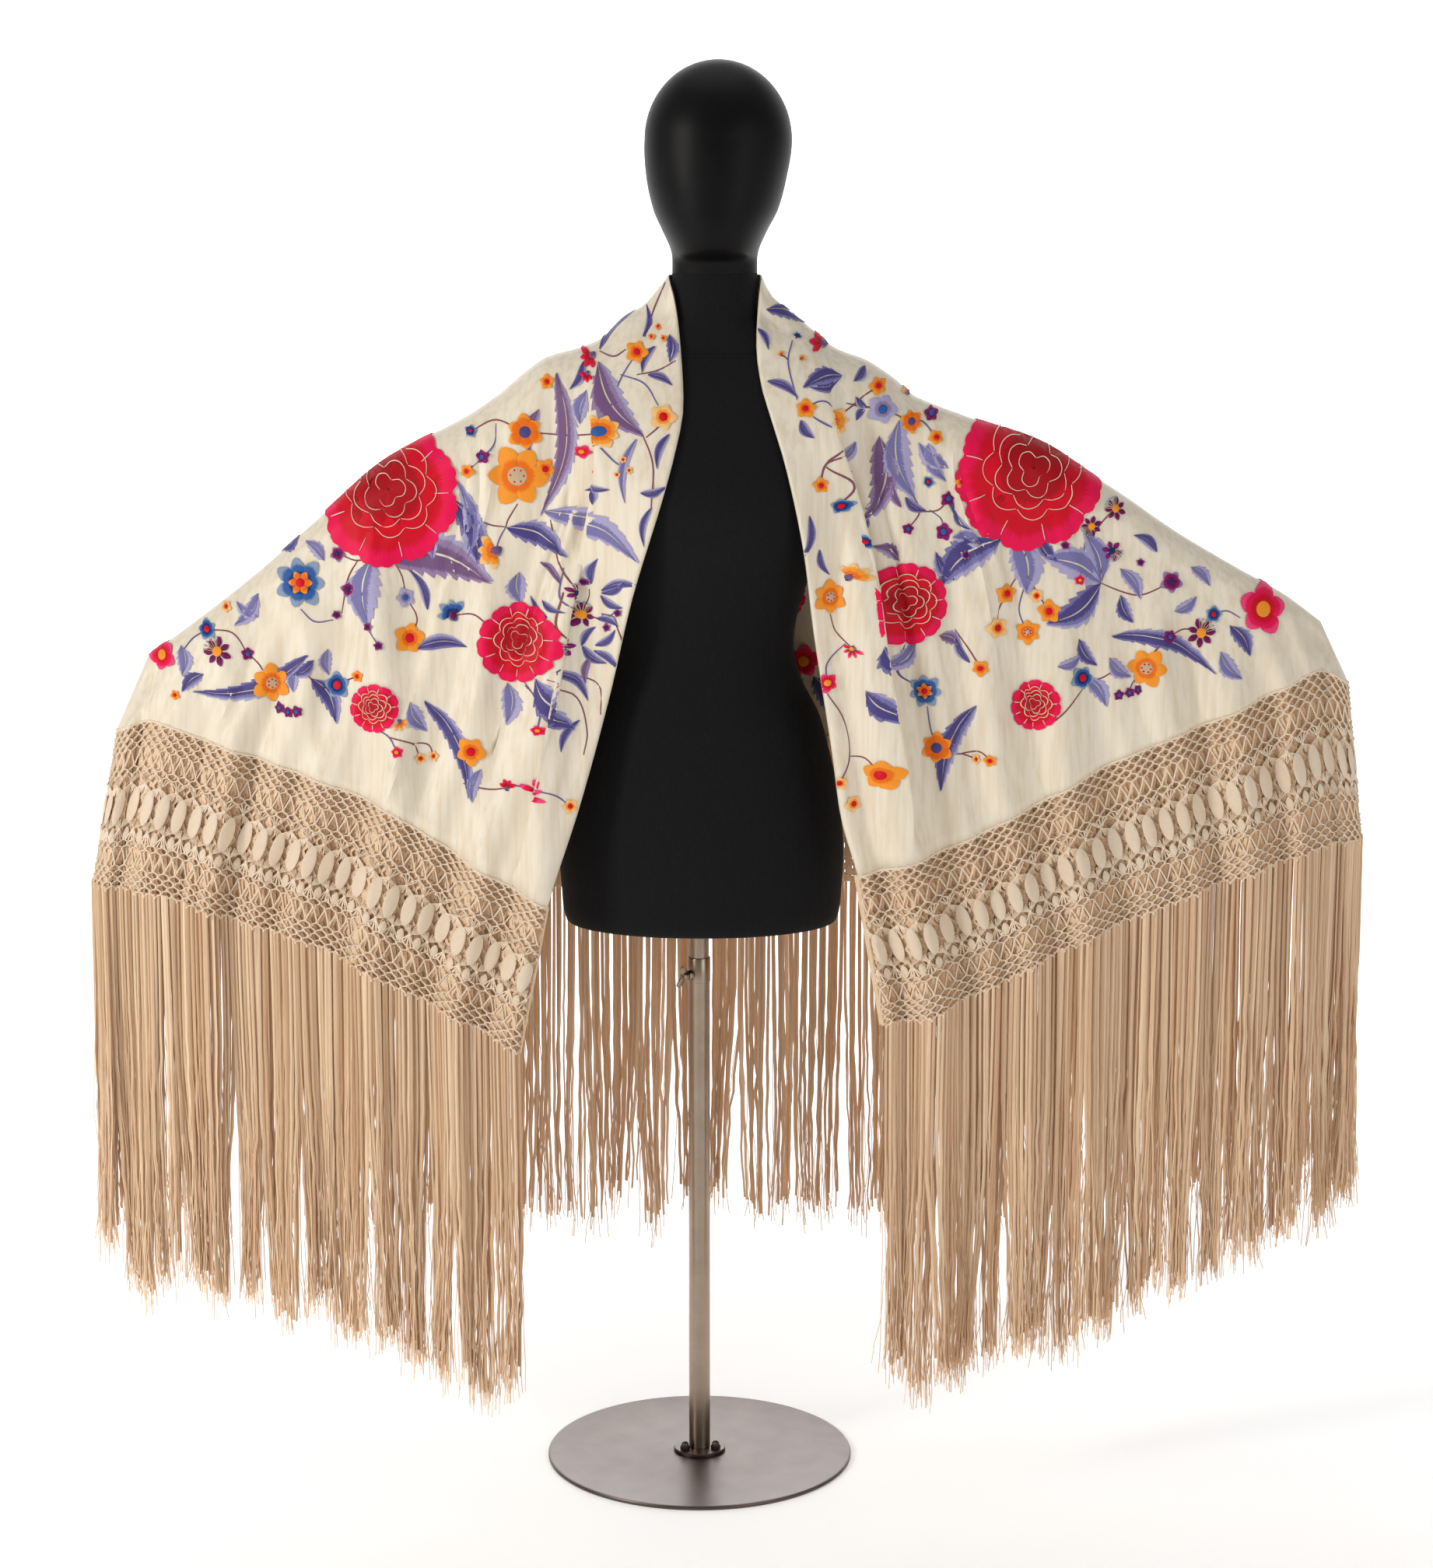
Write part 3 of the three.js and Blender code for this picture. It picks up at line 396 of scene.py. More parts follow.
# Tubes: the lower one ends in a collar, and the screw's boss is brazed to it.
lower_points, lower_faces = turned([[12.4, 9.6], [13, 9.6], [13, 603.6], [13.5, 604.1], [13.5, 633.4],
                                    [13.1, 634], [12.5, 634], [12.4, 633.6], [12.4, 9.6]])
boss_points, boss_faces = turned([[0, 0], [5.5, 0], [5.5, 6.2], [5, 6.8], [0, 6.8]], 32)
lower_faces = np.concatenate([lower_faces, boss_faces + len(lower_points)])
lower_points = np.concatenate([lower_points, along_screw(boss_points, boss_start)])
metal_piece("lower_tube", lower_points, lower_faces, "nickel", "base", "mast_lower")
upper_points, upper_faces = turned([[10.4, 354], [11.9, 354], [11.9, 678.7], [10.4, 678.7], [10.4, 354]])
metal_piece("upper_tube", upper_points, upper_faces, "nickel", "mast", "mast_upper")

# Wing screw: a hub with two flat lobes, each a stack of outlines that close at their middle.
hub_points, hub_faces = turned([[0, 0], [4.2, 0], [4.6, 0.6], [4.6, 7.2], [4, 8], [0, 8]], 32)
lobe_rim = smooth_path([[3, 3], [4, 9], [9, 14], [13, 13.6], [15, 10.5], [12.4, 4.5], [9, 0]], lobe_sides)
lobe_layers = [(0, 1.2), (0.8, 1.2), (1, 0.5), (1, -0.5), (0.8, -1.2), (0, -1.2)]  # share of rim, height
lobe_points = []
for way in (1, -1):
    for share, lift in lobe_layers:
        out, tall = (lobe_middle + (lobe_rim - lobe_middle) * share).T
        side = way * tall * np.sin(lobe_tilt) + lift * np.cos(lobe_tilt)
        height = way * tall * np.cos(lobe_tilt) - lift * np.sin(lobe_tilt)
        lobe_points.append(np.stack([side, height, out], -1))
lobe_count = len(lobe_layers) * lobe_sides
lobe_faces = grid_faces(len(lobe_layers), lobe_sides, True) + len(hub_points)
screw_points = along_screw(np.concatenate([hub_points] + lobe_points), screw_start)
screw_faces = np.concatenate([hub_faces, lobe_faces, lobe_faces + lobe_count])
metal_piece("wing_screw", screw_points, screw_faces, "nickel", "clamp", "clamp_screw")


# Silk
# One square of ivory silk crepe, about 1.5 m a side, folded once in half. The fold runs round the
# nape and down both leading edges; the cloth lies on the shoulders and hangs from the ridge.
left_wing = SimpleNamespace(
    side=-1, tip_top=660, tip_hem=700, tip_low=735,
    ridge=[(35, 1452), (61, 1420), (88, 1402), (110, 1381), (135, 1369), (179, 1356), (205, 1338),
           (236, 1312), (275, 1286), (327, 1259), (379, 1227), (445, 1171), (530, 1097), (620, 1028),
           (660, 1000)],
    edge=[(1452, 35), (1420, 27), (1368, 21), (1303, 18), (1263, 25), (1203, 41), (1085, 77),
          (970, 104), (843, 139), (725, 177), (655, 190), (551, 211)],
    hem=[(177, 725), (263, 769), (305, 796), (364, 832), (450, 865), (591, 911), (650, 928), (700, 911)],
    low=[(211, 551), (330, 606), (455, 664), (552, 691), (645, 717), (735, 722)],
    ends=[(197, 160), (248, 140), (315, 169), (405, 208), (527, 227), (631, 262), (680, 240), (739, 312)],
    folds=[(127, 190, 20, 17), (240, 262, 18, 9), (398, 352, 24, 20), (478, 455, 20, 8),
           (560, 560, 20, 9), (645, 668, 15, -24)],
    ripple=(9, 5, 0.4), pleat=(0.172, 0.075, 0.011, 2.3, 4.0), seed=1.0)
right_wing = SimpleNamespace(
    side=1, tip_top=745, tip_hem=780, tip_low=802,
    ridge=[(73, 1452), (84, 1430), (107, 1410), (128, 1393), (159, 1368), (197, 1353), (232, 1330),
           (252, 1312), (312, 1288), (403, 1255), (458, 1222), (508, 1190), (568, 1149), (641, 1106),
           (700, 1073), (745, 1040)],
    edge=[(1452, 73), (1420, 70), (1368, 68), (1326, 74), (1290, 85), (1234, 102), (1141, 122),
          (1048, 134), (906, 156), (824, 168), (760, 187), (695, 199), (581, 218)],
    hem=[(187, 760), (283, 786), (376, 828), (486, 884), (603, 930), (696, 971), (740, 987), (780, 967)],
    low=[(218, 581), (266, 588), (351, 622), (427, 659), (538, 704), (732, 769), (802, 776)],
    ends=[(193, 190), (280, 150), (355, 180), (462, 197), (543, 250), (613, 266), (699, 316), (802, 350)],
    folds=[(150, 246, 26, 15), (176, 282, 15, -9), (330, 352, 20, 10), (440, 430, 22, 13),
           (560, 536, 20, 8), (640, 640, 22, 10), (725, 745, 15, -26)],
    ripple=(10, 5, 1.3), pleat=(0.124, 0.126, 0.0135, 3.0, 7.0), seed=2.0)
back_panel = SimpleNamespace(
    hem=[(-700, 911), (-560, 897), (-300, 886), (0, 882), (320, 890), (600, 925), (780, 967)],
    low=[(-735, 722), (-560, 706), (-300, 696), (0, 693), (320, 700), (600, 733), (802, 776)],
    ends=[(-739, 312), (-560, 282), (-300, 268), (0, 278), (320, 272), (600, 306), (802, 350)],
    folds=[(-600, -612, 24, 12), (-470, -485, 22, 16), (-330, -372, 20, 12), (-180, -240, 24, 22),
           (-60, -96, 26, 15), (40, 36, 26, 13), (130, 178, 22, 20), (250, 300, 22, 15),
           (400, 425, 24, 18), (540, 560, 20, 10), (660, 680, 22, 12)],
    ripple=(21, 6, 2.1), seed=3.0)
drape = np.array([  # place from edge to tip, round over the ridge, hang in front and behind
    [0, 24, 126, 130], [0.12, 44, 118, 132], [0.3, 50, 96, 112], [0.6, 42, 72, 76], [1, 28, 52, 52],
])
tip_start, tip_share, nape_share = 0.92, 0.87, 0.1
clear_of_form, contact_blend = 6.5, 7
wing_width, edge_roll = 580, 4.5
ridge_sweep, ridge_reach = 25, 700
crinkle_deep, crinkle_long = 1.9, 4.6
pleats_deep, pleats_long = 2.4, 8.9
gathers_deep, gathers_count, gathers_reach = 4.2, 118, 0.42
reach_step, reach_low = 3.0, 676
reach_x = np.arange(-270, 311, reach_step)
reach_z = np.arange(neck_top, reach_low, -reach_step)[::-1]


def mix(first, second, share):
    return first + (second - first) * share


def fade(value, low, high):
    """0 below low, 1 above high, and smooth between."""
    u = np.clip((value - low) / (high - low), 0, 1)
    return u * u * (3 - 2 * u)


def reach_table(deep_column):
    """How far the form stands out over a grid of places, counting what juts out above each,
    because cloth hangs plumb from it. It is widened and smoothed sideways, as cloth spans."""
    downwards = reach_z[::-1]
    shift, wide, deep = (curve(torso_rings[:, [0, k]], downwards)[:, None] for k in (1, 2, deep_column))
    off = np.clip(np.abs(reach_x[None, :] - shift) / wide, 0, 1)
    table = np.maximum.accumulate(deep * (1 - off ** form_round) ** (1 / form_round), 0)[::-1]
    wider = np.max([np.roll(table, k, 1) for k in range(-3, 4)], 0)
    return np.mean([np.roll(wider, k, 1) for k in range(-4, 5)], 0)


reaches = {-1: reach_table(3), 1: reach_table(4)}


def form_reach(x, z, sign):
    """Value of the reach table in front (-1) or behind (1), straight between its places."""
    i = np.clip((x - reach_x[0]) / reach_step, 0, len(reach_x) - 1.001)
    j = np.clip((z - reach_z[0]) / reach_step, 0, len(reach_z) - 1.001)
    i0, j0 = i.astype(int), j.astype(int)
    table = reaches[sign]
    near = mix(table[j0, i0], table[j0, i0 + 1], i - i0)
    far = mix(table[j0 + 1, i0], table[j0 + 1, i0 + 1], i - i0)
    return np.where(z > neck_top, 0, mix(near, far, j - j0))


def tip_turn(s):
    """Share of the columns up to s, and how far the wing's end has closed there: the last
    part of each wing rounds back in plan to meet the cloth behind."""
    turn = np.arcsin(np.clip((s - tip_start) / (1 - tip_start), 0, 1))
    past_start = tip_share + (1 - tip_share) * turn / (np.pi / 2)
    return np.where(s < tip_start, s * tip_share / tip_start, past_start), np.cos(turn)


def tip_place(share):
    """The s that tip_turn gives that share for."""
    turn = (share - tip_share) / (1 - tip_share) * np.pi / 2
    return np.where(share < tip_share, share * tip_start / tip_share,
                    tip_start + (1 - tip_start) * np.sin(np.clip(turn, 0, np.pi / 2)))


def ridge_back(out):
    """How far behind the mast's axis the ridge lies, at a distance out along a wing."""
    return ridge_sweep * (out / ridge_reach) ** 2


def front_columns(wing, s):
    """Hanging columns of a front, at s from the leading edge (0) to the tip (1)."""
    share, close = tip_turn(s)
    top_out = mix(wing.edge[0][1], wing.tip_top, s)
    hem_out = mix(wing.hem[0][0], wing.tip_hem, s)
    low_out = mix(wing.low[0][0], wing.tip_low, s)
    return SimpleNamespace(
        wing=wing, panel=wing, side=wing.side, sign=-1, s=s, share=share, close=close,
        top_x=wing.side * top_out, top_y=ridge_back(top_out), top_z=curve(wing.ridge, top_out),
        hem_x=wing.side * hem_out, hem_z=curve(wing.hem, hem_out),
        low_x=wing.side * low_out, low_z=curve(wing.low, low_out),
        round=curve(drape[:, [0, 1]], s), deep=curve(drape[:, [0, 2]], s))


def back_columns(share):
    """Hanging columns of the back, at shares from the left tip (0) round the nape to the
    right tip (1)."""
    right = share >= 0.5
    side = np.where(right, 1, -1)
    s = tip_place(np.abs(2 * share - 1))
    close = tip_turn(s)[1]
    out = np.clip((s - nape_share) / (1 - nape_share), 0, 1)
    turn = np.minimum(1, s / nape_share) * np.pi / 2
    neck_over, neck_out = torso_rings[-1, 1], torso_rings[-1, 2] + clear_of_form
    start = np.where(right, right_wing.edge[0][1], left_wing.edge[0][1])
    top_out = mix(start, np.where(right, right_wing.tip_top, left_wing.tip_top), out)
    neck_x = neck_over + side * neck_out * np.sin(turn)
    nape_x = neck_x + (side * start - neck_over - side * neck_out) * np.sin(turn)
    nape = s < nape_share
    ridge_z = np.where(right, curve(right_wing.ridge, top_out), curve(left_wing.ridge, top_out))
    hem_x = side * np.where(right, right_wing.tip_hem, left_wing.tip_hem) * s
    low_x = side * np.where(right, right_wing.tip_low, left_wing.tip_low) * s
    return SimpleNamespace(
        wing=None, panel=back_panel, side=1, sign=1, s=s, share=share, close=close,
        top_x=np.where(nape, nape_x, side * top_out),
        top_y=np.where(nape, neck_out * np.cos(turn), ridge_back(top_out)),
        top_z=np.where(nape, left_wing.ridge[0][1], ridge_z),
        hem_x=hem_x, hem_z=curve(back_panel.hem, hem_x), low_x=low_x, low_z=curve(back_panel.low, low_x),
        round=mix(8, curve(drape[:, [0, 1]], out), np.minimum(1, s / nape_share)),
        deep=curve(drape[:, [0, 3]], out))


def fold_depth(c, x, level):
    """Outward depth of the folds: soft ridges and troughs that run from the ridge to the hem, a
    slow ripple, uneven pleats and crinkles that grow towards the hem, and gathers below the
    shoulder. The pleats are sines whose phase is warped by a slower sine."""
    place = c.side * x
    grow = fade(level, 0.02, 0.55)
    depth = 0
    for top, hem, wide, deep in c.panel.folds:
        middle = mix(top, hem, np.minimum(level, 1))
        depth = depth + deep * grow * np.exp(-(((place - middle) / wide) ** 2))
    count, deep, phase = c.panel.ripple
    warp = 0.55 * np.sin(2 * np.pi * 3.3 * c.share + phase)
    depth = depth + deep * fade(level, 0.15, 1) * np.sin(2 * np.pi * count * c.share + phase + warp)
    q, seed = c.hem_x, c.panel.seed
    crinkles = crinkle_deep * np.sin(q / crinkle_long + 1.4 * np.sin(q / 11.3 + seed) + seed)
    crinkles = crinkles * (0.6 + 0.4 * np.sin(q / 31 + seed))
    pleats = pleats_deep * np.sin(q / pleats_long + 1.6 * np.sin(q / 26.1 + 2 * seed))
    pleats = pleats * (0.5 + 0.5 * np.sin(q / 53 + seed))
    gathers = gathers_deep * np.sin(c.s * gathers_count + 3 * np.sin(c.s * 31 + seed))
    gathers = gathers * np.exp(-((c.s / gathers_reach) ** 2))
    gathers = gathers * fade(level, 0.01, 0.1) * (1 - fade(level, 0.2, 0.85))
    return depth + (crinkles + pleats) * fade(level, 0.2, 0.95) + gathers


def plain_x(c, level):
    """How far to the side a column is, before the pleat moves it."""
    x = mix(c.top_x, c.hem_x, level)
    if c.wing is None:
        return x
    edge = c.wing.edge
    edge_up = mix(edge[0][0], c.wing.hem[0][1], level)
    straight = mix(edge[0][1], c.wing.hem[0][0], level)
    return x + c.side * (1 - c.s) * (curve(edge, edge_up) - straight)


def cloth(c, down):
    """Middle of the silk at a distance down its columns: it turns over the ridge on a quarter
    circle, flares out to the hem with the folds on top, and is held off the form. The leading
    edge rolls back on itself, and on one front a pleat laps over the cloth beside it."""
    drop = c.top_z - c.hem_z
    level = down / drop
    turned_over = np.minimum(down, c.round)
    over = np.sqrt(np.maximum(0, turned_over * (2 * c.round - turned_over)))
    x = plain_x(c, level)
    z = c.top_z - down
    free = (over + (c.deep - c.round) * fade(level, 0, 1) + fold_depth(c, x, level)) * c.close
    base = c.sign * c.top_y + free
    held = form_reach(x, z, c.sign) + clear_of_form
    blend = contact_blend * fade(down, 0, 25)
    y = np.where(held > clear_of_form + 0.5, 0.5 * (base + held + np.hypot(base - held, blend)), base)
    y = mix(base, y, fade(down, 0, 12))
    if c.wing is not None:
        roll = np.clip(1 - c.s * wing_width / edge_roll, 0, 1)
        y = y - edge_roll * (1 - np.sqrt(1 - roll ** 2)) * fade(down, 0, 20)
        at_top, at_hem, wide, lap, proud = c.wing.pleat
        u = (c.s - mix(at_top, at_hem, level)) / wide
        grow = fade(level, 0.02, 0.2) * (1 - fade(level, 0.88, 1))
        x = x - c.side * wide * wing_width * lap * u * np.exp(-(u ** 2) / 2) * grow
        y = y + proud * grow * (0.5 - 0.5 * np.tanh(1.7 * u)) * np.exp(-((np.minimum(0, u + 1) / 3.5) ** 2))
    return np.stack(np.broadcast_arrays(x, c.sign * y, z), -1)


def cloth_rows(c):
    """Distances down each column: close together where the cloth turns over the ridge."""
    turn = np.array([0, 0.08, 0.2, 0.36, 0.55, 0.77, 1])
    hang = np.linspace(0, 1, 37)[1:] ** 1.12
    return np.concatenate([turn * c.round, c.round + hang * (c.top_z - c.hem_z - c.round)], 1)


def column_list(wing):
    """Places of the columns: about 6 mm apart, closer at the leading edge, pleat and tip."""
    edge_columns = np.array([0.001, 0.0025, 0.0045, 0.007])
    s = [np.linspace(0, 0.9, 92), edge_columns, tip_place(np.linspace(0.855, 1, 22))]
    at_top, at_hem, wide = wing.pleat[:3]
    s.append(np.arange(min(at_top, at_hem) - 2.4 * wide, max(at_top, at_hem) + 2.4 * wide, wide / 4.5))
    return np.unique(np.round(np.concatenate(s), 6))[:, None]


silk_points, silk_faces = [], []
for wing in (left_wing, right_wing):
    s = column_list(wing)
    front = front_columns(wing, s)
    behind = nape_share + (1 - nape_share) * s
    nape = np.linspace(0, nape_share, 16)[:-1, None]
    half = tip_turn(np.concatenate([nape, behind]))[0] / 2
    back = back_columns(0.5 + (half if wing.side > 0 else -np.maximum(half, 1e-9)))
    for columns in (front, back):
        rows = cloth_rows(columns)
        grid = cloth(columns, rows)
        faces = grid_faces(*grid.shape[:2])
        if wing.side * columns.sign < 0:
            faces = faces[:, ::-1]
        silk_faces.append(faces + sum(len(p) for p in silk_points))
        silk_points.append(grid.reshape(-1, 3))

silk = Finish("silk")
crepe = silk.noise(0.8, silk.place(), detail=3, rough=0.7)
# Painted fold shade: long vertical bands of noise darken the ivory where fine folds would shade it; the large
# clouds are the silk's own uneven tone.
fold_shade_streaks = silk.noise(7, silk.place((1, 1, 0.05)), detail=3)
cloud = silk.noise(120, silk.place(), detail=2)
ivory = silk.blend(fold_shade_streaks.step(0.35, 0.75), paint(241, 231, 211), paint(228, 213, 186))
ivory = silk.blend(cloud.step(0.4, 0.8) * 0.45, ivory, paint(234, 219, 194))
silk_finish = silk.skin(ivory, 0.42 + 0.14 * crepe, silk.bump(crepe, 0.12, 0.35),
                        Sheen_Weight=0.25, Sheen_Roughness=0.35)
silk_piece = make_piece("silk_square", np.concatenate(silk_points), np.concatenate(silk_faces), silk_finish,
                        "form", ["silk_left_front", "silk_right_front", "silk_back"], 0.02)
wall = silk_piece.modifiers.new("wall", "SOLIDIFY")
wall.thickness, wall.offset = 0.0016, 0


# Embroidery
# Flowers, leaves and stems in satin stitch of coloured silk, raised a little over the crepe. Each
# petal and leaf half is a patch of its own, parted from the next by a thin line of bare silk.
thread_paint = {
    "crimson": (176, 0, 22), "scarlet": (214, 0, 34), "pink": (238, 8, 80), "blush": (248, 70, 128),
    "orange": (238, 112, 14), "amber": (248, 154, 44), "peach": (250, 196, 126), "cream": (238, 226, 200),
    "plum": (104, 4, 74), "purple": (136, 14, 104), "mauve": (150, 126, 164), "indigo": (78, 70, 132),
    "violet": (122, 118, 170), "lavender": (172, 166, 202), "navy": (16, 44, 108), "blue": (44, 92, 162),
    "steel": (138, 158, 184), "brown": (146, 84, 60), "wine": (118, 86, 128), "sand": (202, 178, 142),
}
thread_colour = {name: np.array(paint(*value)[:3]) for name, value in thread_paint.items()}


def flower(petals, pointed, tones, heart, heart_share=0.3, ring=None, stamens=None, spread=360):
    """Kind of flower: its petals' number, shape and threads, its heart and what stands on it."""
    return SimpleNamespace(petals=petals, pointed=pointed, tones=tones, heart=heart, ring=ring,
                           heart_share=heart_share, stamens=stamens, spread=spread)


flower_kinds = {
    "poppy": flower(6, 0, ("orange", "amber", "amber"), "sand", 0.3, stamens="scarlet"),
    "ringed": flower(7, 0, ("navy", "blue", "steel"), "scarlet", 0.17, ring="orange"),
    "violet_heart": flower(6, 0, ("orange", "orange", "amber"), "indigo", 0.32),
    "aster": flower(8, 0, ("orange", "amber", "peach"), "blue", 0.3),
    "daisy": flower(5, 0, ("orange", "amber", "amber"), "scarlet", 0.3),
    "pale_daisy": flower(5, 0, ("amber", "peach", "peach"), "scarlet", 0.32),
    "pink_daisy": flower(5, 0, ("scarlet", "pink", "blush"), "amber", 0.3),
    "blue_daisy": flower(5, 0, ("navy", "blue", "steel"), "scarlet", 0.3),
    "plum_daisy": flower(5, 0, ("plum", "purple", "purple"), "blue", 0.34),
    "lilac": flower(5, 0, ("mauve", "lavender", "lavender"), "blue", 0.3),
    "star": flower(7, 1, ("plum", "plum", "purple"), "amber", 0.34, stamens="steel"),
    "dark_star": flower(6, 1, ("plum", "purple", "purple"), "navy", 0.34, stamens="steel"),
    "side": flower(4, 0, ("orange", "amber", "peach"), "wine", 0.2, spread=170),
    "blue_side": flower(4, 0, ("navy", "blue", "steel"), "plum", 0.2, spread=170),
    "red_side": flower(4, 0, ("crimson", "scarlet", "pink"), "wine", 0.2, spread=170),
    "orchid": flower(5, 1, ("crimson", "pink", "blush"), "amber", 0.2, spread=210),
    "berry": flower(5, 0, ("plum", "purple", "mauve"), "navy", 0.2),
}


class Needlework:
    """Patches of stitches for one cloth: places (x, z) in millimetres as the cloth is seen, how
    far they stand proud, and the colours of each patch from its inner to its outer threads. base
    is how far off the cloth the next patches start, so that flowers lie over stems."""

    def __init__(self):
        self.spots, self.faces, self.uv, self.tones, self.count = [], [], [], [], 0
        self.base = 0.0

    def patch(self, x, z, lift, across, band, tones):
        """Adds a grid of places. across is the place over the threads in millimetres, and band
        the share of the way from the inner to the outer colour."""
        grids = np.broadcast_arrays(x, z, lift + self.base, across, band)
        self.spots.append(np.stack(grids[:3], -1).reshape(-1, 3))
        self.uv.append(np.stack(grids[3:], -1).reshape(-1, 2))
        self.faces.append(grid_faces(*grids[0].shape) + self.count)
        colours = np.concatenate([thread_colour[tone] for tone in tones])
        self.tones.append(np.broadcast_to(colours, (grids[0].size, 9)))
        self.count += grids[0].size

    def petal(self, at, turn, near, far, half, tones, lift=0.0, pointed=0, scallop=0.0, size=(7, 6)):
        """Petal between two distances from a place, half its width in radians: round, or drawn
        to a point, and with a scalloped rim where scallop is over 0."""
        u = np.linspace(-1, 1, size[0])[None, :]
        v = np.linspace(0, 1, size[1])[:, None]
        round_end = np.sqrt(1 - (0.93 * np.clip((v - 0.55) / 0.45, 0, 1)) ** 2)
        sharp = np.sin(np.pi * np.clip(0.2 + 0.8 * v, 0, 0.97)) ** 0.8
        angle = turn + half * u * (sharp if pointed else round_end)
        rim = 1 - 0.1 * u ** 2 * (1 - pointed) + scallop * (np.abs(np.cos(2.5 * np.pi * u)) - 0.5)
        radius = near + (far * rim - near) * v
        dome = (1 - u ** 4) * np.sin(np.pi * np.clip(v, 0.08, 0.95)) ** 0.5
        self.patch(at[0] + radius * np.cos(angle), at[1] + radius * np.sin(angle),
                   lift + 0.9 + 0.8 * dome, u * half * far, v, tones)

    def disc(self, at, radius, tones, lift=0.0, sides=14):
        """Round heart, a little domed."""
        v = np.linspace(0.02, 1, 4)[:, None]
        turn = np.linspace(0, 2 * np.pi, sides + 1)[None, :]
        self.patch(at[0] + radius * v * np.cos(turn), at[1] + radius * v * np.sin(turn),
                   lift + 1.0 + 0.9 * (1 - v ** 2) + 0 * turn, radius * np.sin(turn), v, tones)

    def line(self, points, width, tones, lift=0.0):
        """Row of slanting stitches along a smooth path through a few places."""
        path = smooth_path(points, 6 * (len(points) - 1) + 1)
        ahead = np.gradient(path, axis=0)
        ahead /= np.linalg.norm(ahead, axis=1, keepdims=True) + 1e-9
        taper = width / 2 * (0.55 + 0.45 * np.sin(np.pi * np.linspace(0.1, 0.9, len(path))))[:, None]
        u = np.array([-1, 0, 1])[None, :]
        x = path[:, :1] - ahead[:, 1:] * u * taper
        z = path[:, 1:] + ahead[:, :1] * u * taper
        along = np.cumsum(np.linalg.norm(np.diff(path, axis=0, prepend=path[:1]), axis=1))[:, None]
        self.patch(x, z, lift + 0.9 + 0.6 * (1 - u ** 2), along, 0.5 + 0.5 * u, tones)

    def leaf(self, base, tip, width, tones, bend=0.12, teeth=7, gap=0.05):
        """Leaf of two halves with a bare midrib between, bent to one side, and saw-toothed
        towards its tip where it has teeth."""
        base, axis = np.array(base, float), np.subtract(tip, base).astype(float)
        long = np.hypot(*axis)
        beside = np.array([-axis[1], axis[0]]) / long
        notches = max(teeth, 5)
        v = ((np.arange(notches)[:, None] + np.array([0, 0.5, 0.94])).ravel() / notches)
        v = np.append(v, 1.0)[:, None]
        tooth = 1 - 0.24 * (1 - (v * notches) % 1) * (teeth > 0) * (v > 0.12)
        wide = width / 2 * np.sin(np.pi * np.clip(v, 0.015, 0.985) ** 0.8) ** 0.85
        spine = base + axis * v + beside * bend * long * np.sin(np.pi * v)
        for way in (-1, 1):
            u = np.linspace(gap, 1, 4)[None, :]
            reach = way * wide * u * (1 + (tooth - 1) * fade(u, 0.5, 1))
            sweep = 0.16 * width * u * (teeth > 0)
            x = spine[:, :1] + beside[0] * reach + axis[0] / long * sweep
            z = spine[:, 1:] + beside[1] * reach + axis[1] / long * sweep
            order = slice(None) if way > 0 else slice(None, None, -1)
            tone = tones if way > 0 else (tones[0], tones[0], tones[1])
            self.patch(x[:, order], z[:, order], (0.9 + 0.8 * np.sin(np.pi * u) + 0 * v)[:, order],
                       (v * long + 0 * u), (u + 0 * v)[:, order], tone)

    def bloom(self, kind, at, size, turn=None):
        """Flower of a kind, with its petals round a heart, or spread like a fan as seen from the
        side, when a small calyx closes it."""
        k = flower_kinds[kind]
        turn = np.radians(at[0] * 7 + at[1] * 3 if turn is None else turn)
        radius = size / 2
        step = np.radians(k.spread) / k.petals
        detail = (9, 7) if size > 34 else (5, 5)
        for n in range(k.petals):
            angle = turn + (n - (k.petals - 1) / 2) * step
            self.petal(at, angle, radius * k.heart_share * 0.9, radius * (1 - 0.08 * (n % 2)),
                       step * (0.4 if k.pointed else 0.52), k.tones, pointed=k.pointed,
                       scallop=0.05 if size > 44 else 0, size=detail)
        if k.ring is not None:
            for n in range(6):
                self.petal(at, turn + n * np.pi / 3, radius * k.heart_share, radius * 0.46, 0.5,
                           (k.ring, k.ring, "amber"), lift=0.5, size=(5, 4))
        self.disc(at, radius * k.heart_share, (k.heart, k.heart, k.heart), lift=0.5)
        if k.stamens is not None:
            for n in range(6):
                angle = turn + (n / 5 - 0.5) * (1.5 if k.pointed else 5)
                out = np.array([np.cos(angle), np.sin(angle)]) * radius
                reach = 0.95 if k.pointed else 0.2
                if k.pointed:
                    self.line([at + 0.3 * out, at + 0.6 * out, at + reach * out], 0.9, ("sand",) * 3, 0.6)
                self.disc(at + reach * out, 1.3, (k.stamens,) * 3, lift=0.9, sides=6)
        if k.spread < 360:
            back = np.array([np.cos(turn), np.sin(turn)]) * radius
            self.leaf(at - 0.35 * back, at + 0.25 * back, radius * 0.5, ("indigo", "wine", "mauve"), teeth=0)

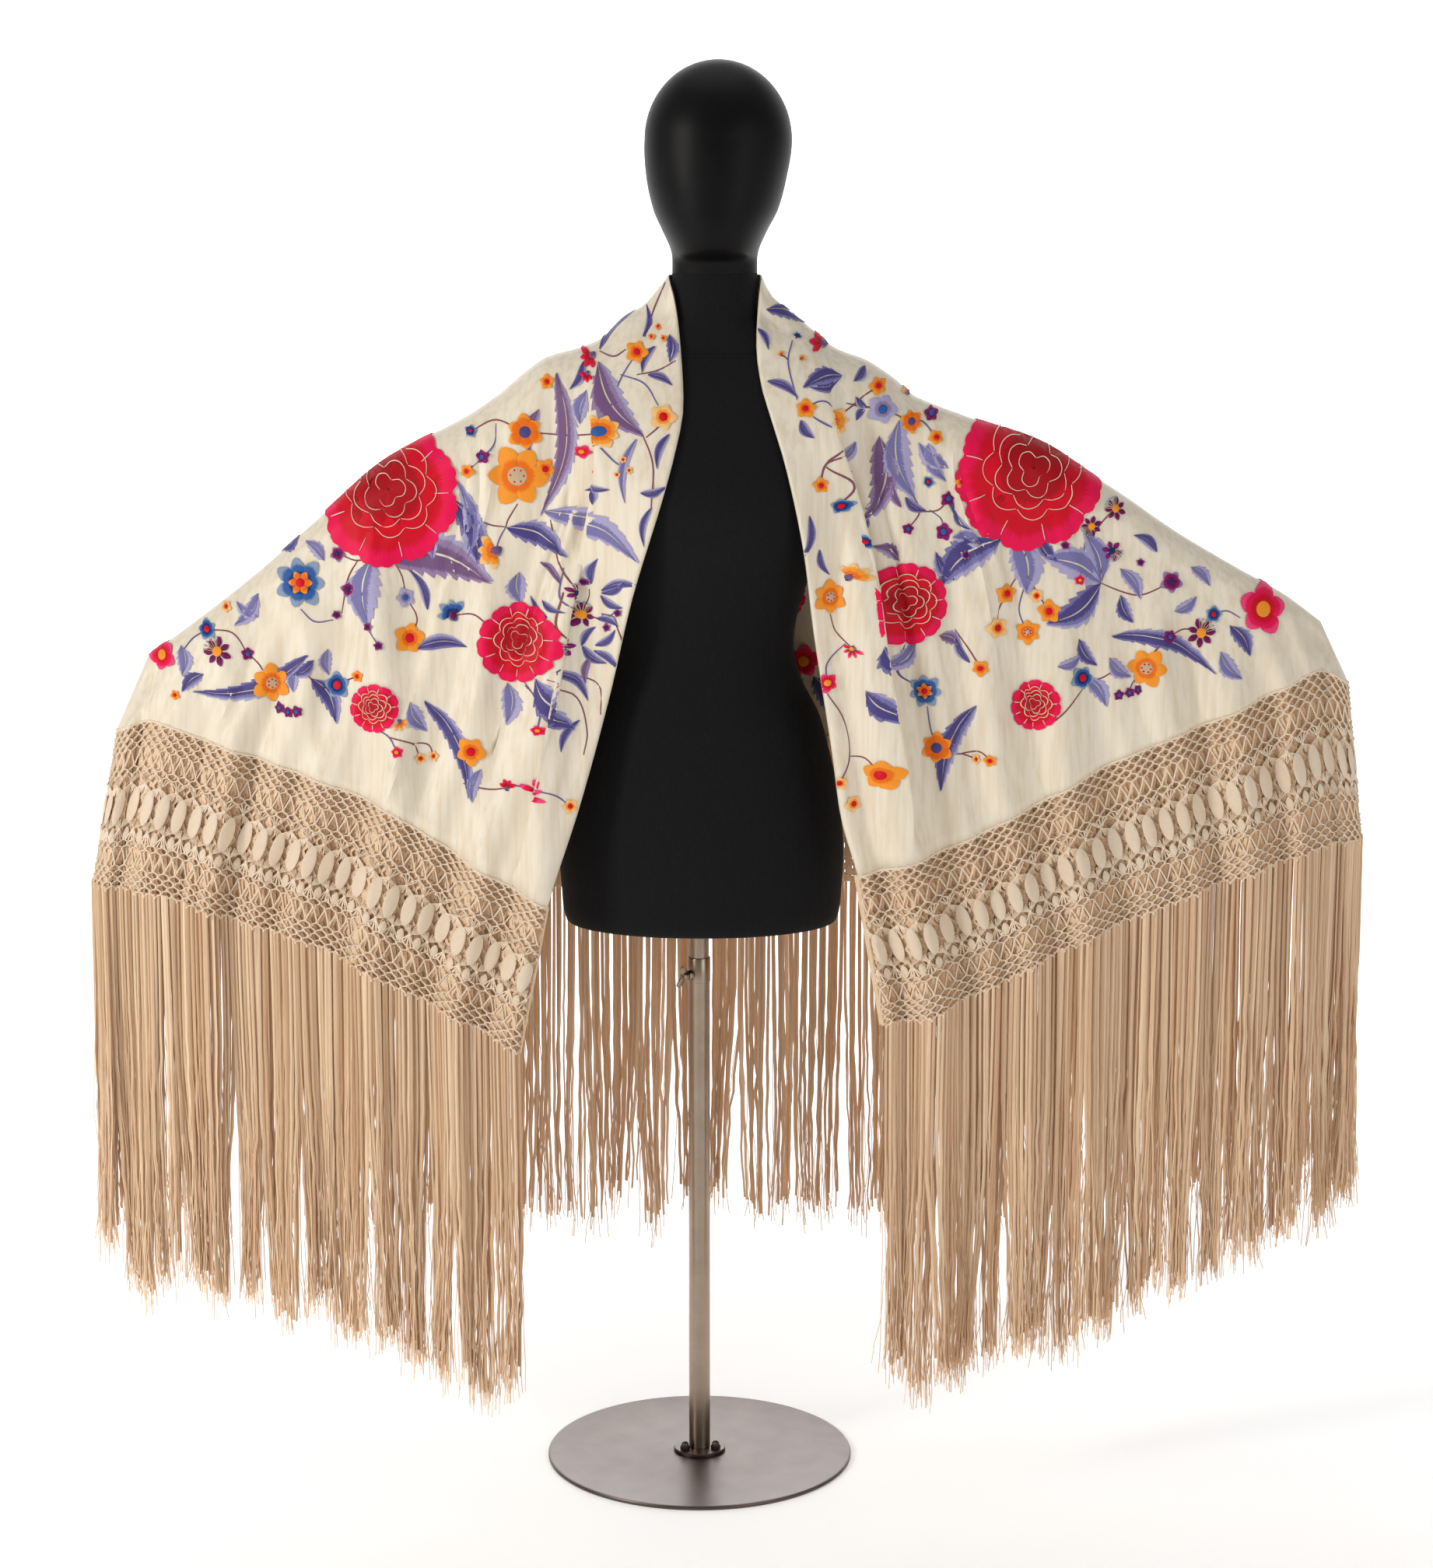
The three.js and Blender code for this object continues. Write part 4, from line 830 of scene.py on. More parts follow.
    def rose(self, at, size, turn=0.4, full=False):
        """Full flower: one round of stitches with a scalloped rim, parted into petals by lines
        of bare silk, and nested arcs of bare silk round a darker heart that lies off centre."""
        radius = size / 2
        lobes, frill = (9, 36) if full else (11, 22)
        bare = ("cream", "cream", "cream")
        angle = np.linspace(0, 2 * np.pi, 145)[None, :]
        v = np.linspace(0.3, 1, 9)[:, None]
        wave = np.abs(np.cos(lobes / 2 * (angle - turn))) ** 0.5
        ripple = np.abs(np.cos(frill / 2 * angle))
        rim = radius * (0.88 + 0.1 * wave + 0.025 * ripple + 0.02 * np.sin(2 * angle))
        lift = 1.0 + 1.1 * np.sin(np.pi * v) ** 0.5 * (0.4 + 0.6 * wave)
        tones = ("crimson", "scarlet", "pink") if full else ("scarlet", "scarlet", "pink")
        self.patch(at[0] + rim * v * np.cos(angle), at[1] + rim * v * np.sin(angle), lift,
                   radius * angle, v ** 1.7, tones)
        for n in range(lobes):
            side = turn + np.pi * (2 * n + 1) / lobes
            way = np.array([np.cos(side), np.sin(side)]) * radius
            self.line([at + 0.66 * way, at + 0.76 * way, at + 0.87 * way], 1.0, bare, 1.2)
        heart = at + radius * np.array([0.03, 0.07])
        self.disc(heart, radius * 0.66, ("crimson", "crimson", "scarlet"), lift=1.2, sides=30)
        for share, arcs, shift in ((0.56, 8, 0.0), (0.42, 6, 0.5), (0.28, 5, 0.2), (0.13, 3, 0.9)):
            for n in range(arcs):
                start = turn + shift + 2 * np.pi * n / arcs
                angles = start + np.linspace(0, 2 * np.pi / arcs * 0.96, 5)
                bulge = radius * (share + 0.1 * np.sin(np.linspace(0, np.pi, 5)))
                arc = heart + np.stack([bulge * np.cos(angles), bulge * np.sin(angles)], -1)
                self.line(arc, 1.0, bare, 1.9)

    def make(self, name, columns_at, reach, inside=False):
        """Lays the patches on a cloth: finds the column whose middle passes each place, and
        moves the patch out along the cloth's normal there. What lies past its ends is left out."""
        x, z, lift = np.concatenate(self.spots).T
        q = x / reach(0 * x)
        for _ in range(12):
            c = columns_at(q)
            drop = c.top_z - c.hem_z
            level = np.clip((c.top_z - z) / drop, 0, 1)
            q = q + (x - plain_x(c, level)) / reach(level)
        c = columns_at(q)
        down = np.clip(c.top_z - z, 0.05, c.top_z - c.hem_z - 1)
        middle = cloth(c, down)
        beside = cloth(columns_at(q + 0.002), down) - middle
        below = cloth(c, down + 1) - middle
        normal = np.cross(beside, below)
        normal *= np.sign(normal[:, 1:2]) * (-1 if inside else 1) * c.sign
        normal /= np.linalg.norm(normal, axis=1, keepdims=True) + 1e-9
        points = middle + normal * (lift + 0.1)[:, None]
        faces = np.concatenate(self.faces)
        faces = faces[((z < c.top_z) & (z > c.hem_z))[faces].any(1)]
        used, faces = np.unique(faces, return_inverse=True)
        faces = faces.reshape(-1, 4)
        points, normal = points[used], normal[used]
        tones, uv = np.concatenate(self.tones)[used], np.concatenate(self.uv)[used]
        a, b, d = (points[faces[:, k]] for k in (0, 1, 3))
        facing = np.einsum("ij,ij->i", np.cross(b - a, d - a), normal[faces[:, 0]])
        faces = np.where(facing[:, None] < 0, faces[:, ::-1], faces)
        return make_piece(name, points, faces, satin_stitch, "form", uv=uv,
                          tones={"inner": tones[:, :3], "middle": tones[:, 3:6], "outer": tones[:, 6:]})


stitch = Finish("satin stitch")
over, band_share = stitch.lanes()
rag_at = stitch.node("CombineXYZ", {}, {"X": over * 1.1, "Y": band_share * 1.6})
rag = stitch.node("TexNoise", {}, {"Vector": rag_at, "Scale": 1.0, "Detail": 3.0})
fibre_at = stitch.node("CombineXYZ", {}, {"X": over * 2.6, "Y": band_share})
fibre = stitch.node("TexNoise", {}, {"Vector": fibre_at, "Scale": 1.0, "Detail": 2.0})
shifted = band_share + (rag - 0.5) * 0.55
inner, middle_tone, outer = (stitch.node("Attribute", {"attribute_name": n}, output="Color")
                             for n in ("inner", "middle", "outer"))
floss = stitch.blend(shifted.step(0.3, 0.42), inner, middle_tone)
floss = stitch.blend(shifted.step(0.62, 0.74), floss, outer)
# Painted sheen: the fibre noise brightens and darkens the floss thread by thread, standing in for the glint
# of the satin stitches, with some of the threads' own tone.
painted_sheen_grey = stitch.node("CombineColor", {}, {name: 0.55 + 0.9 * fibre for name in ("Red", "Green", "Blue")})
sheen = stitch.node("Mix", {"data_type": "RGBA", "blend_type": "MULTIPLY"}, {0: 0.5, 6: floss, 7: painted_sheen_grey}, 2)
satin_stitch = stitch.skin(sheen, 0.4 + 0.2 * fibre, stitch.bump(fibre, 0.35, 0.5),
                           Specular_IOR_Level=0.2)

# Places are (x, z) in millimetres from the mast's axis and the floor.
left_flowers = [
    ("violet_heart", -202, 1273, 43), ("poppy", -211, 1222, 74), ("side", -237, 1136, 46, 200),
    ("daisy", -339, 1033, 38), ("aster", -109, 1276, 40), ("pink_daisy", -136, 1252, 16),
    ("daisy", -71, 1365, 28), ("pale_daisy", -40, 1293, 32), ("pink_daisy", -121, 1229, 16),
    ("blue_daisy", -266, 1272, 15), ("plum_daisy", -252, 1244, 18), ("daisy", -270, 1227, 18),
    ("ringed", -469, 1094, 62), ("blue_side", -287, 1060, 40, 120), ("lilac", -344, 1080, 24),
    ("star", -135, 1064, 30), ("dark_star", -153, 1028, 25), ("dark_star", -150, 1090, 20),
    ("pink_daisy", -189, 931, 13), ("pink_daisy", -639, 1003, 36), ("blue_daisy", -583, 1036, 24),
    ("star", -569, 1012, 34), ("plum_daisy", -533, 1010, 16), ("poppy", -504, 977, 47),
    ("blue_daisy", -425, 976, 33), ("daisy", -400, 988, 15), ("plum_daisy", -494, 948, 14),
    ("plum_daisy", -483, 944, 14), ("plum_daisy", -472, 946, 14), ("side", -350, 937, 22, 300),
    ("daisy", -266, 904, 36), ("pale_daisy", -327, 894, 14), ("pale_daisy", -311, 896, 14),
    ("pink_daisy", -352, 903, 14), ("red_side", -223, 863, 21, 90), ("orchid", -193, 857, 38, 60),
    ("pale_daisy", -150, 843, 19), ("berry", -424, 1129, 20), ("berry", -411, 1088, 20),
    ("berry", -426, 1058, 12), ("berry", -386, 1047, 12), ("berry", -374, 1026, 12),
    ("daisy", -620, 960, 12), ("pale_daisy", -560, 1062, 14), ("plum_daisy", -300, 1240, 13),
    ("red_side", -124, 1360, 30, 215), ("red_side", -128, 1340, 20, 250), ("daisy", -176, 1330, 18),
    ("daisy", -179, 1230, 26), ("pale_daisy", -86, 1245, 9), ("pale_daisy", -79, 1233, 9),
    ("pale_daisy", -93, 1228, 8), ("berry", -129, 1102, 10), ("berry", -93, 1068, 11),
    ("berry", -106, 1050, 11), ("daisy", -46, 1393, 8), ("daisy", -54, 1382, 8), ("daisy", -40, 1381, 8),
]
left_roses = [(-364, 1198, 168, 1), (-211, 1030, 94, 0), (-380, 952, 58, 0)]
left_leaves = [  # base, tip, width, thread, teeth
    (-164, 1341, -184, 1180, 22, "plum", 12), (-117, 1354, -66, 1276, 30, "plum", 7),
    (-181, 1182, -72, 1129, 26, "pale", 9), (-383, 1126, -386, 1052, 36, "pale", 6),
    (-369, 1128, -248, 1101, 44, "plum", 9), (-289, 1196, -310, 1128, 26, "pale", 6),
    (-289, 1196, -258, 1120, 26, "dusk", 6), (-271, 1123, -282, 1212, 20, "pale", 6),
    (-225, 1163, -158, 1132, 25, "dusk", 6), (-210, 1112, -208, 1078, 22, "pale", 4),
    (-330, 1021, -270, 1024, 16, "slim", 0), (-190, 990, -147, 935, 26, "dusk", 7),
    (-223, 984, -224, 938, 22, "pale", 5), (-139, 942, -160, 906, 8, "slim", 0),
    (-89, 1023, -98, 978, 9, "slim", 0), (-53, 1192, -62, 1146, 8, "slim", 0),
    (-615, 1017, -612, 985, 18, "pale", 5), (-586, 986, -610, 966, 15, "dusk", 4),
    (-458, 1011, -596, 966, 19, "dusk", 10), (-474, 991, -476, 970, 13, "pale", 4),
    (-452, 1006, -476, 988, 13, "dusk", 4), (-437, 1019, -436, 990, 14, "pale", 4),
    (-456, 986, -427, 935, 21, "dusk", 6), (-338, 960, -320, 928, 18, "pale", 5),
    (-322, 962, -270, 851, 19, "dusk", 10), (-255, 884, -264, 846, 14, "pale", 4),
    (-118, 1060, -92, 1052, 8, "slim", 0), (-112, 1090, -84, 1106, 9, "slim", 0),
    (-124, 1100, -116, 1130, 8, "slim", 0), (-120, 1028, -96, 1048, 9, "slim", 0),
    (-122, 1022, -92, 1000, 9, "slim", 0), (-126, 1014, -132, 984, 9, "mauve", 0),
    (-176, 1060, -196, 1084, 7, "slim", 0), (-440, 1120, -462, 1140, 14, "pale", 4),
    (-520, 1052, -546, 1068, 12, "pale", 4), (-318, 1066, -340, 1112, 10, "slim", 0),
    (-133, 1353, -150, 1322, 10, "slim", 0), (-129, 1323, -138, 1286, 14, "pale", 4),
    (-115, 1367, -71, 1413, 9, "slim", 0), (-64, 1382, -60, 1418, 7, "slim", 0),
    (-33, 1386, -33, 1356, 13, "dusk", 3), (-50, 1372, -65, 1342, 9, "slim", 0),
    (-58, 1340, -30, 1328, 9, "slim", 0), (-33, 1274, -47, 1235, 9, "slim", 0),
    (-120, 1216, -135, 1208, 7, "slim", 0), (-120, 1216, -101, 1211, 7, "slim", 0),
    (-120, 1216, -114, 1193, 8, "slim", 0), (-66, 1208, -37, 1216, 9, "slim", 0),
    (-184, 1123, -161, 1098, 8, "mauve", 0), (-181, 1079, -161, 1067, 8, "slim", 0),
    (-112, 1093, -68, 1100, 10, "slim", 0), (-113, 1087, -87, 1074, 9, "slim", 0),
    (-137, 1028, -119, 1050, 9, "slim", 0), (-136, 1027, -106, 1008, 11, "slim", 0),
    (-162, 1002, -129, 964, 11, "slim", 0), (-71, 1268, -84, 1196, 10, "pale", 0),
    (-402, 1180, -430, 1150, 24, "dusk", 5),
    (-186, 1300, -196, 1250, 14, "plum", 5),
    (-520, 1080, -548, 1044, 16, "pale", 4), (-500, 1130, -476, 1146, 14, "dusk", 4),
]
left_stems = [
    [(-71, 1365), (-92, 1330), (-109, 1276)], [(-109, 1276), (-150, 1270), (-202, 1273)],
    [(-202, 1273), (-236, 1286), (-266, 1272)], [(-236, 1282), (-240, 1256), (-270, 1227)],
    [(-211, 1190), (-222, 1172), (-225, 1163)], [(-225, 1163), (-250, 1168), (-289, 1196)],
    [(-225, 1163), (-232, 1150), (-237, 1136)], [(-358, 1150), (-372, 1132), (-400, 1122), (-424, 1129)],
    [(-400, 1122), (-412, 1100), (-420, 1060)], [(-376, 1112), (-398, 1070), (-374, 1026)],
    [(-360, 1126), (-348, 1104), (-344, 1080)], [(-344, 1080), (-330, 1056), (-339, 1033)],
    [(-469, 1064), (-452, 1050), (-430, 1052)], [(-287, 1060), (-262, 1062), (-245, 1050)],
    [(-172, 1172), (-164, 1130), (-150, 1090)], [(-158, 1118), (-162, 1080), (-135, 1064)],
    [(-160, 1090), (-168, 1050), (-153, 1028)], [(-168, 1050), (-176, 1010), (-190, 992)],
    [(-205, 988), (-186, 960), (-189, 931)], [(-178, 990), (-142, 968), (-130, 930), (-134, 902)],
    [(-135, 1064), (-112, 1060), (-96, 1068)], [(-612, 1012), (-600, 1026), (-583, 1036)],
    [(-583, 1036), (-552, 1034), (-533, 1010)], [(-533, 1010), (-520, 1000), (-514, 992)],
    [(-497, 956), (-490, 950), (-483, 944)], [(-425, 976), (-410, 984), (-400, 988)],
    [(-440, 972), (-452, 980), (-460, 990)], [(-378, 928), (-362, 920), (-352, 903)],
    [(-362, 920), (-336, 912), (-327, 894)], [(-336, 912), (-318, 910), (-311, 896)],
    [(-300, 930), (-282, 920), (-266, 904)], [(-276, 866), (-246, 860), (-223, 863)],
    [(-223, 863), (-210, 866), (-193, 857)], [(-180, 862), (-166, 856), (-150, 843)],
    [(-66, 1278), (-52, 1240), (-54, 1192)], [(-60, 1270), (-46, 1282), (-40, 1293)],
    [(-90, 1340), (-62, 1330), (-46, 1306)], [(-98, 1060), (-90, 1040), (-89, 1023)],
    [(-62, 1382), (-51, 1415), (-38, 1444)], [(-121, 1338), (-112, 1322), (-109, 1298)],
    [(-115, 1365), (-98, 1360), (-84, 1368)], [(-71, 1340), (-47, 1345), (-26, 1356)],
    [(-106, 1258), (-96, 1243), (-84, 1236)], [(-145, 995), (-116, 982), (-114, 948)],
    [(-202, 981), (-189, 968), (-183, 950)], [(-112, 1066), (-98, 1063), (-93, 1052)],
    [(-112, 1066), (-108, 1060), (-106, 1052)], [(-126, 1094), (-127, 1085), (-132, 1073)],
]
right_flowers = [
    ("star", 490, 1180, 26), ("star", 461, 1161, 25), ("dark_star", 486, 1132, 25),
    ("berry", 557, 1095, 28), ("daisy", 360, 1085, 25), ("daisy", 411, 1064, 29),
    ("poppy", 386, 1040, 31), ("pale_daisy", 349, 1046, 27), ("pale_daisy", 396, 1082, 17),
    ("daisy", 330, 1000, 20), ("daisy", 123, 1302, 23), ("aster", 160, 1286, 36),
    ("daisy", 209, 1325, 22), ("violet_heart", 248, 1284, 28), ("daisy", 277, 1266, 18),
    ("daisy", 141, 1215, 20), ("plum_daisy", 272, 1292, 18), ("plum_daisy", 291, 1195, 18),
    ("plum_daisy", 287, 1157, 22), ("plum_daisy", 244, 1161, 14), ("blue_daisy", 162, 1190, 19),
    ("blue_daisy", 192, 1148, 17), ("lilac", 214, 1299, 36), ("poppy", 153, 1084, 42),
    ("side", 176, 1108, 32, 60), ("orchid", 180, 1025, 24, 250), ("pink_daisy", 150, 985, 24),
    ("daisy", 211, 881, 37), ("pale_daisy", 165, 870, 17), ("pale_daisy", 180, 845, 21),
    ("ringed", 265, 974, 40), ("violet_heart", 279, 908, 38), ("pale_daisy", 326, 893, 13),
    ("daisy", 342, 893, 15), ("pink_daisy", 668, 1060, 60), ("star", 593, 1035, 34),
    ("blue_daisy", 608, 1056, 21), ("plum_daisy", 554, 1032, 17), ("poppy", 528, 996, 47),
    ("blue_daisy", 450, 986, 30), ("plum_daisy", 494, 965, 13), ("plum_daisy", 507, 967, 13),
    ("plum_daisy", 518, 970, 13), ("daisy", 306, 1214, 14), ("pink_daisy", 446, 1100, 13),
    ("blue_side", 114, 1381, 13, 70), ("side", 96, 1362, 11, 120), ("side", 119, 1357, 11, 30),
    ("red_side", 145, 1374, 34, 150), ("blue_daisy", 269, 1215, 15), ("side", 245, 1316, 20, 100),
    ("berry", 312, 1130, 12), ("berry", 430, 1140, 12), ("berry", 520, 1118, 11),
]
right_roses = [(388, 1222, 178, 1), (243, 1074, 96, 0), (395, 955, 60, 0)]
right_leaves = [
    (78, 1414, 122, 1398, 15, "dusk", 4), (127, 1327, 166, 1336, 13, "slim", 0),
    (211, 1269, 202, 1176, 30, "plum", 7), (233, 1287, 251, 1200, 30, "pale", 7),
    (293, 1230, 259, 1258, 18, "pale", 5), (354, 1149, 286, 1097, 36, "dusk", 8),
    (371, 1149, 384, 1090, 34, "pale", 6), (473, 1095, 410, 1124, 32, "pale", 6),
    (473, 1095, 412, 1052, 30, "dusk", 6), (473, 1095, 454, 1150, 26, "pale", 5),
    (496, 1112, 519, 1078, 16, "pale", 4), (496, 1081, 511, 1051, 16, "dusk", 4),
    (581, 1112, 603, 1090, 13, "pale", 4), (202, 1029, 226, 996, 18, "dusk", 5),
    (255, 1028, 226, 1002, 18, "pale", 5), (194, 978, 232, 945, 20, "dusk", 5),
    (200, 1078, 221, 1040, 18, "pale", 5), (326, 957, 286, 860, 22, "dusk", 9),
    (627, 1044, 650, 1010, 18, "dusk", 5), (615, 1014, 639, 984, 18, "pale", 5),
    (485, 1034, 608, 989, 18, "dusk", 10), (482, 1009, 507, 987, 16, "pale", 4),
    (454, 987, 479, 954, 18, "pale", 5), (445, 1032, 467, 1002, 15, "dusk", 4),
    (128, 1180, 120, 1130, 9, "slim", 0), (140, 1140, 152, 1110, 8, "slim", 0),
    (318, 1006, 300, 1040, 10, "slim", 0), (540, 1130, 512, 1150, 12, "slim", 0),
    (236, 1186, 226, 1216, 8, "mauve", 0), (298, 1182, 318, 1160, 9, "slim", 0),
    (69, 1392, 81, 1368, 7, "slim", 0), (168, 1338, 124, 1326, 19, "dusk", 5),
    (80, 1333, 115, 1314, 10, "slim", 0), (118, 1289, 133, 1269, 11, "dusk", 0),
    (183, 1262, 162, 1229, 10, "pale", 0), (268, 1260, 288, 1217, 15, "pale", 4),
    (196, 1301, 182, 1314, 9, "dusk", 0), (194, 1299, 183, 1287, 9, "slim", 0),
    (194, 1347, 180, 1331, 11, "slim", 0), (241, 1197, 266, 1181, 11, "slim", 0),
    (289, 1200, 297, 1178, 9, "slim", 0), (330, 1142, 300, 1150, 18, "pale", 4),
    (420, 1120, 398, 1158, 16, "dusk", 4), (236, 1124, 212, 1140, 14, "plum", 4),
    (280, 1038, 306, 1026, 14, "plum", 4), (560, 1060, 586, 1076, 13, "pale", 4),
    (300, 1100, 278, 1132, 14, "dusk", 4), (420, 1000, 446, 1012, 12, "pale", 4),
]
right_stems = [
    [(123, 1302), (140, 1310), (160, 1286)], [(160, 1286), (186, 1310), (209, 1325)],
    [(180, 1304), (214, 1299), (248, 1284)], [(248, 1284), (262, 1284), (277, 1266)],
    [(160, 1268), (146, 1240), (141, 1215)], [(146, 1236), (166, 1214), (162, 1190)],
    [(202, 1178), (204, 1162), (192, 1148)], [(250, 1200), (258, 1180), (244, 1161)],
    [(258, 1180), (280, 1182), (291, 1195)], [(270, 1182), (284, 1172), (287, 1157)],
    [(385, 1138), (376, 1110), (360, 1085)], [(378, 1118), (394, 1090), (411, 1064)],
    [(384, 1100), (376, 1066), (386, 1040)], [(368, 1090), (352, 1070), (349, 1046)],
    [(470, 1098), (480, 1130), (486, 1132)], [(470, 1098), (452, 1130), (461, 1161)],
    [(462, 1150), (476, 1168), (490, 1180)], [(473, 1095), (500, 1084), (523, 1081), (557, 1095)],
    [(243, 1030), (236, 1010), (240, 990), (265, 974)], [(330, 1000), (318, 1020), (300, 1044)],
    [(153, 1064), (160, 1044), (180, 1025)], [(172, 1030), (150, 1008), (150, 985)],
    [(150, 973), (170, 940), (176, 900), (165, 870)], [(176, 900), (196, 898), (211, 881)],
    [(268, 956), (272, 930), (279, 908)], [(279, 900), (306, 900), (326, 893)],
    [(306, 900), (330, 902), (342, 893)], [(640, 1052), (624, 1060), (608, 1056)],
    [(593, 1035), (574, 1040), (554, 1032)], [(554, 1032), (540, 1020), (534, 1012)],
    [(516, 984), (510, 976), (507, 967)], [(450, 986), (470, 984), (486, 992)],
    [(395, 928), (420, 940), (450, 972)], [(109, 1378), (104, 1353), (114, 1312)],
    [(166, 1255), (147, 1241), (141, 1223)], [(173, 1307), (187, 1303), (201, 1301)],
    [(131, 1293), (138, 1286), (143, 1281)], [(104, 1356), (100, 1360), (96, 1362)],
]
leaf_threads = {"pale": ("violet", "lavender", "lavender"), "dusk": ("indigo", "violet", "lavender"),
                "slim": ("indigo", "violet", "lavender"), "mauve": ("wine", "mauve", "mauve"),
                "plum": ("wine", "mauve", "lavender")}


def embroider(flowers, roses, leaves, stems):
    """Needlework of a whole design: stems first, then leaves, flowers and roses over them."""
    work = Needlework()
    for number, stem in enumerate(stems):
        work.line(stem, 1.9, ("wine", "brown", "brown") if number % 3 else ("indigo", "violet", "mauve"))
    work.base = 0.3
    for number, (x0, z0, x1, z1, width, thread, teeth) in enumerate(leaves):
        fuller = 1.3 if teeth else 1.1
        work.leaf((x0, z0), (x1, z1), fuller * width, leaf_threads[thread], 0.13 * (-1) ** number, teeth)
    work.base = 1.0
    for kind, x, z, size, *turn in flowers:
        work.bloom(kind, np.array([x, z], float), size, *turn)
    work.base = 1.5
    for x, z, size, full in roses:
        work.rose(np.array([x, z], float), size, full=bool(full))
    return work


def front_reach(wing):
    """Distance over a wing's columns, as a function of the level down them."""
    return lambda level: wing.side * mix(wing.tip_top - wing.edge[0][1], wing.tip_hem - wing.hem[0][0], level)


def back_reach(level):
    """Distance from the middle of the back over its columns to a tip."""
    return mix(700, 740, level)


def back_at(q):
    """Columns of the back at places from the left tip (-1) to the right tip (1)."""
    return back_columns(0.5 + 0.5 * np.sign(q) * tip_turn(np.clip(np.abs(q), 1e-6, 1))[0])


for wing, flowers, roses, leaves, stems, name in [
    (left_wing, left_flowers, left_roses, left_leaves, left_stems, "left"),
    (right_wing, right_flowers, right_roses, right_leaves, right_stems, "right"),
]:
    work = embroider(flowers, roses, leaves, stems)
    laid = work.make(f"embroidery_{name}", lambda q: front_columns(wing, np.clip(q, 0.001, 0.999)),
                     front_reach(wing))

# Behind, each corner of the square carries the same design without its smallest sprigs and what
# would lie below the shorter hem there, with a bouquet between them.
lowest_stitch = 900
back_flowers = [f for f in left_flowers + right_flowers if f[3] >= 18 and f[2] - f[3] / 2 > lowest_stitch]
back_flowers += [("poppy", 40, 1262, 60), ("aster", -60, 1110, 40), ("star", 60, 1060, 30),
                 ("ringed", -20, 972, 56), ("daisy", 90, 930, 30), ("poppy", -100, 930, 44)]
back_leaves = [f for f in left_leaves + right_leaves if f[4] >= 12 and min(f[1], f[3]) > lowest_stitch]
back_leaves += [(0, 1110, -30, 1040, 30, "pale", 7), (10, 1110, 70, 1090, 30, "dusk", 7),
                (-60, 960, -90, 990, 22, "pale", 5), (30, 1000, 60, 950, 24, "dusk", 6)]
back_stems = [stem for stem in left_stems + right_stems if min(z for x, z in stem) > lowest_stitch]
back_stems += [[(0, 1110), (-30, 1100), (-60, 1110)], [(20, 1110), (50, 1090), (60, 1060)],
               [(-20, 1040), (-26, 1010), (-20, 1000)], [(0, 960), (50, 960), (90, 930)]]
back_work = embroider(back_flowers, left_roses + right_roses + [(0, 1180, 130, 1), (30, 926, 50, 0)],
                      back_leaves, back_stems)
back_work.make("embroidery_back", back_at, back_reach)

# A few flowers on the back's inner face show between the form and the right front.
inner_work = embroider(
    [("pink_daisy", 128, 978, 44), ("ringed", 60, 1010, 40), ("daisy", -150, 1000, 34)],
    [(100, 1060, 60, 0)], [(140, 960, 160, 910, 24, "dusk", 6), (110, 960, 84, 920, 22, "pale", 5)],
    [[(128, 956), (120, 920), (126, 900)]])
inner_work.make("embroidery_inside", back_at, back_reach, True)


# Knotted band
# Silk thread knotted by hand on all four sides of the square: hexagonal net, a row of long slots,
# fans, and woven leaves with open eyes between them. The bands of the two halves lie together.
def band_point(c, past, out=0.0):
    """Middle of the band, past going from the silk's hem (0) to the band's end (1), and moved
    out along the band's normal, which turns sideways where the wing's end rounds."""
    hem = cloth(c, c.top_z - c.hem_z)
    x = mix(c.hem_x, c.low_x, past) + np.sign(c.hem_x) * out * np.sqrt(1 - c.close ** 2)
    z = mix(c.hem_z, c.low_z, past)
    folded = fold_depth(c, c.hem_x, 1.0) * c.close
    y = hem[..., 1] + c.sign * (6 * past * c.close + 0.15 * past * folded + out * c.close)
    return np.stack(np.broadcast_arrays(x, y, z), -1)


def ball_surface(centres, size, sides=6, rings=4):
    """Many small knots: an ellipsoid of half sizes (x, y, z) at each centre."""
    rise = np.linspace(-np.pi / 2, np.pi / 2, rings + 1)[:, None]
    turn = np.linspace(0, 2 * np.pi, sides, endpoint=False)[None, :]
    unit = np.stack([np.cos(rise) * np.cos(turn), np.cos(rise) * np.sin(turn), np.sin(rise) + 0 * turn], -1)
    points = centres[:, None] + unit.reshape(1, -1, 3) * size
    faces = grid_faces(rings + 1, sides, True)
    offset = (rings + 1) * sides * np.arange(len(centres))[:, None, None]
    uv = np.tile(np.stack([turn + 0 * rise, rise + 0 * turn], -1).reshape(-1, 2), (len(centres), 1))
    return points.reshape(-1, 3), [(faces + offset).reshape(-1, 4)], uv


def join(surfaces):
    """One surface of several (points, faces, uv)."""
    points, faces, uv, count = [], [], [], 0
    for more, quads, places in surfaces:
        points.append(more)
        faces += [f + count for f in quads]
        uv.append(places)
        count += len(more)
    return np.concatenate(points), faces, np.concatenate(uv)


cells_to_leaf = 3
net_rows = [np.array([0, 0.033, 0.066, 0.099, 0.132, 0.165, 0.25, 0.283, 0.316]),
            np.array([0.69, 0.722, 0.754, 0.84, 0.872, 0.904, 0.936, 0.968, 1.0])]
top_knot, leaf_top, leaf_low, low_knot = 0.36, 0.402, 0.588, 0.63
lean_top, lean_low = 0.32, 0.68
far_rows = np.concatenate([net_rows[0], np.linspace(0.36, 0.65, 8), net_rows[1]])
fine_make = SimpleNamespace(cord_ends=(-0.01, 0.01), knot_detail=(5, 3), straight_radius=4.8, edge=True)
plain_make = SimpleNamespace(cord_ends=(0,), knot_detail=(4, 2), straight_radius=5.8, edge=False)


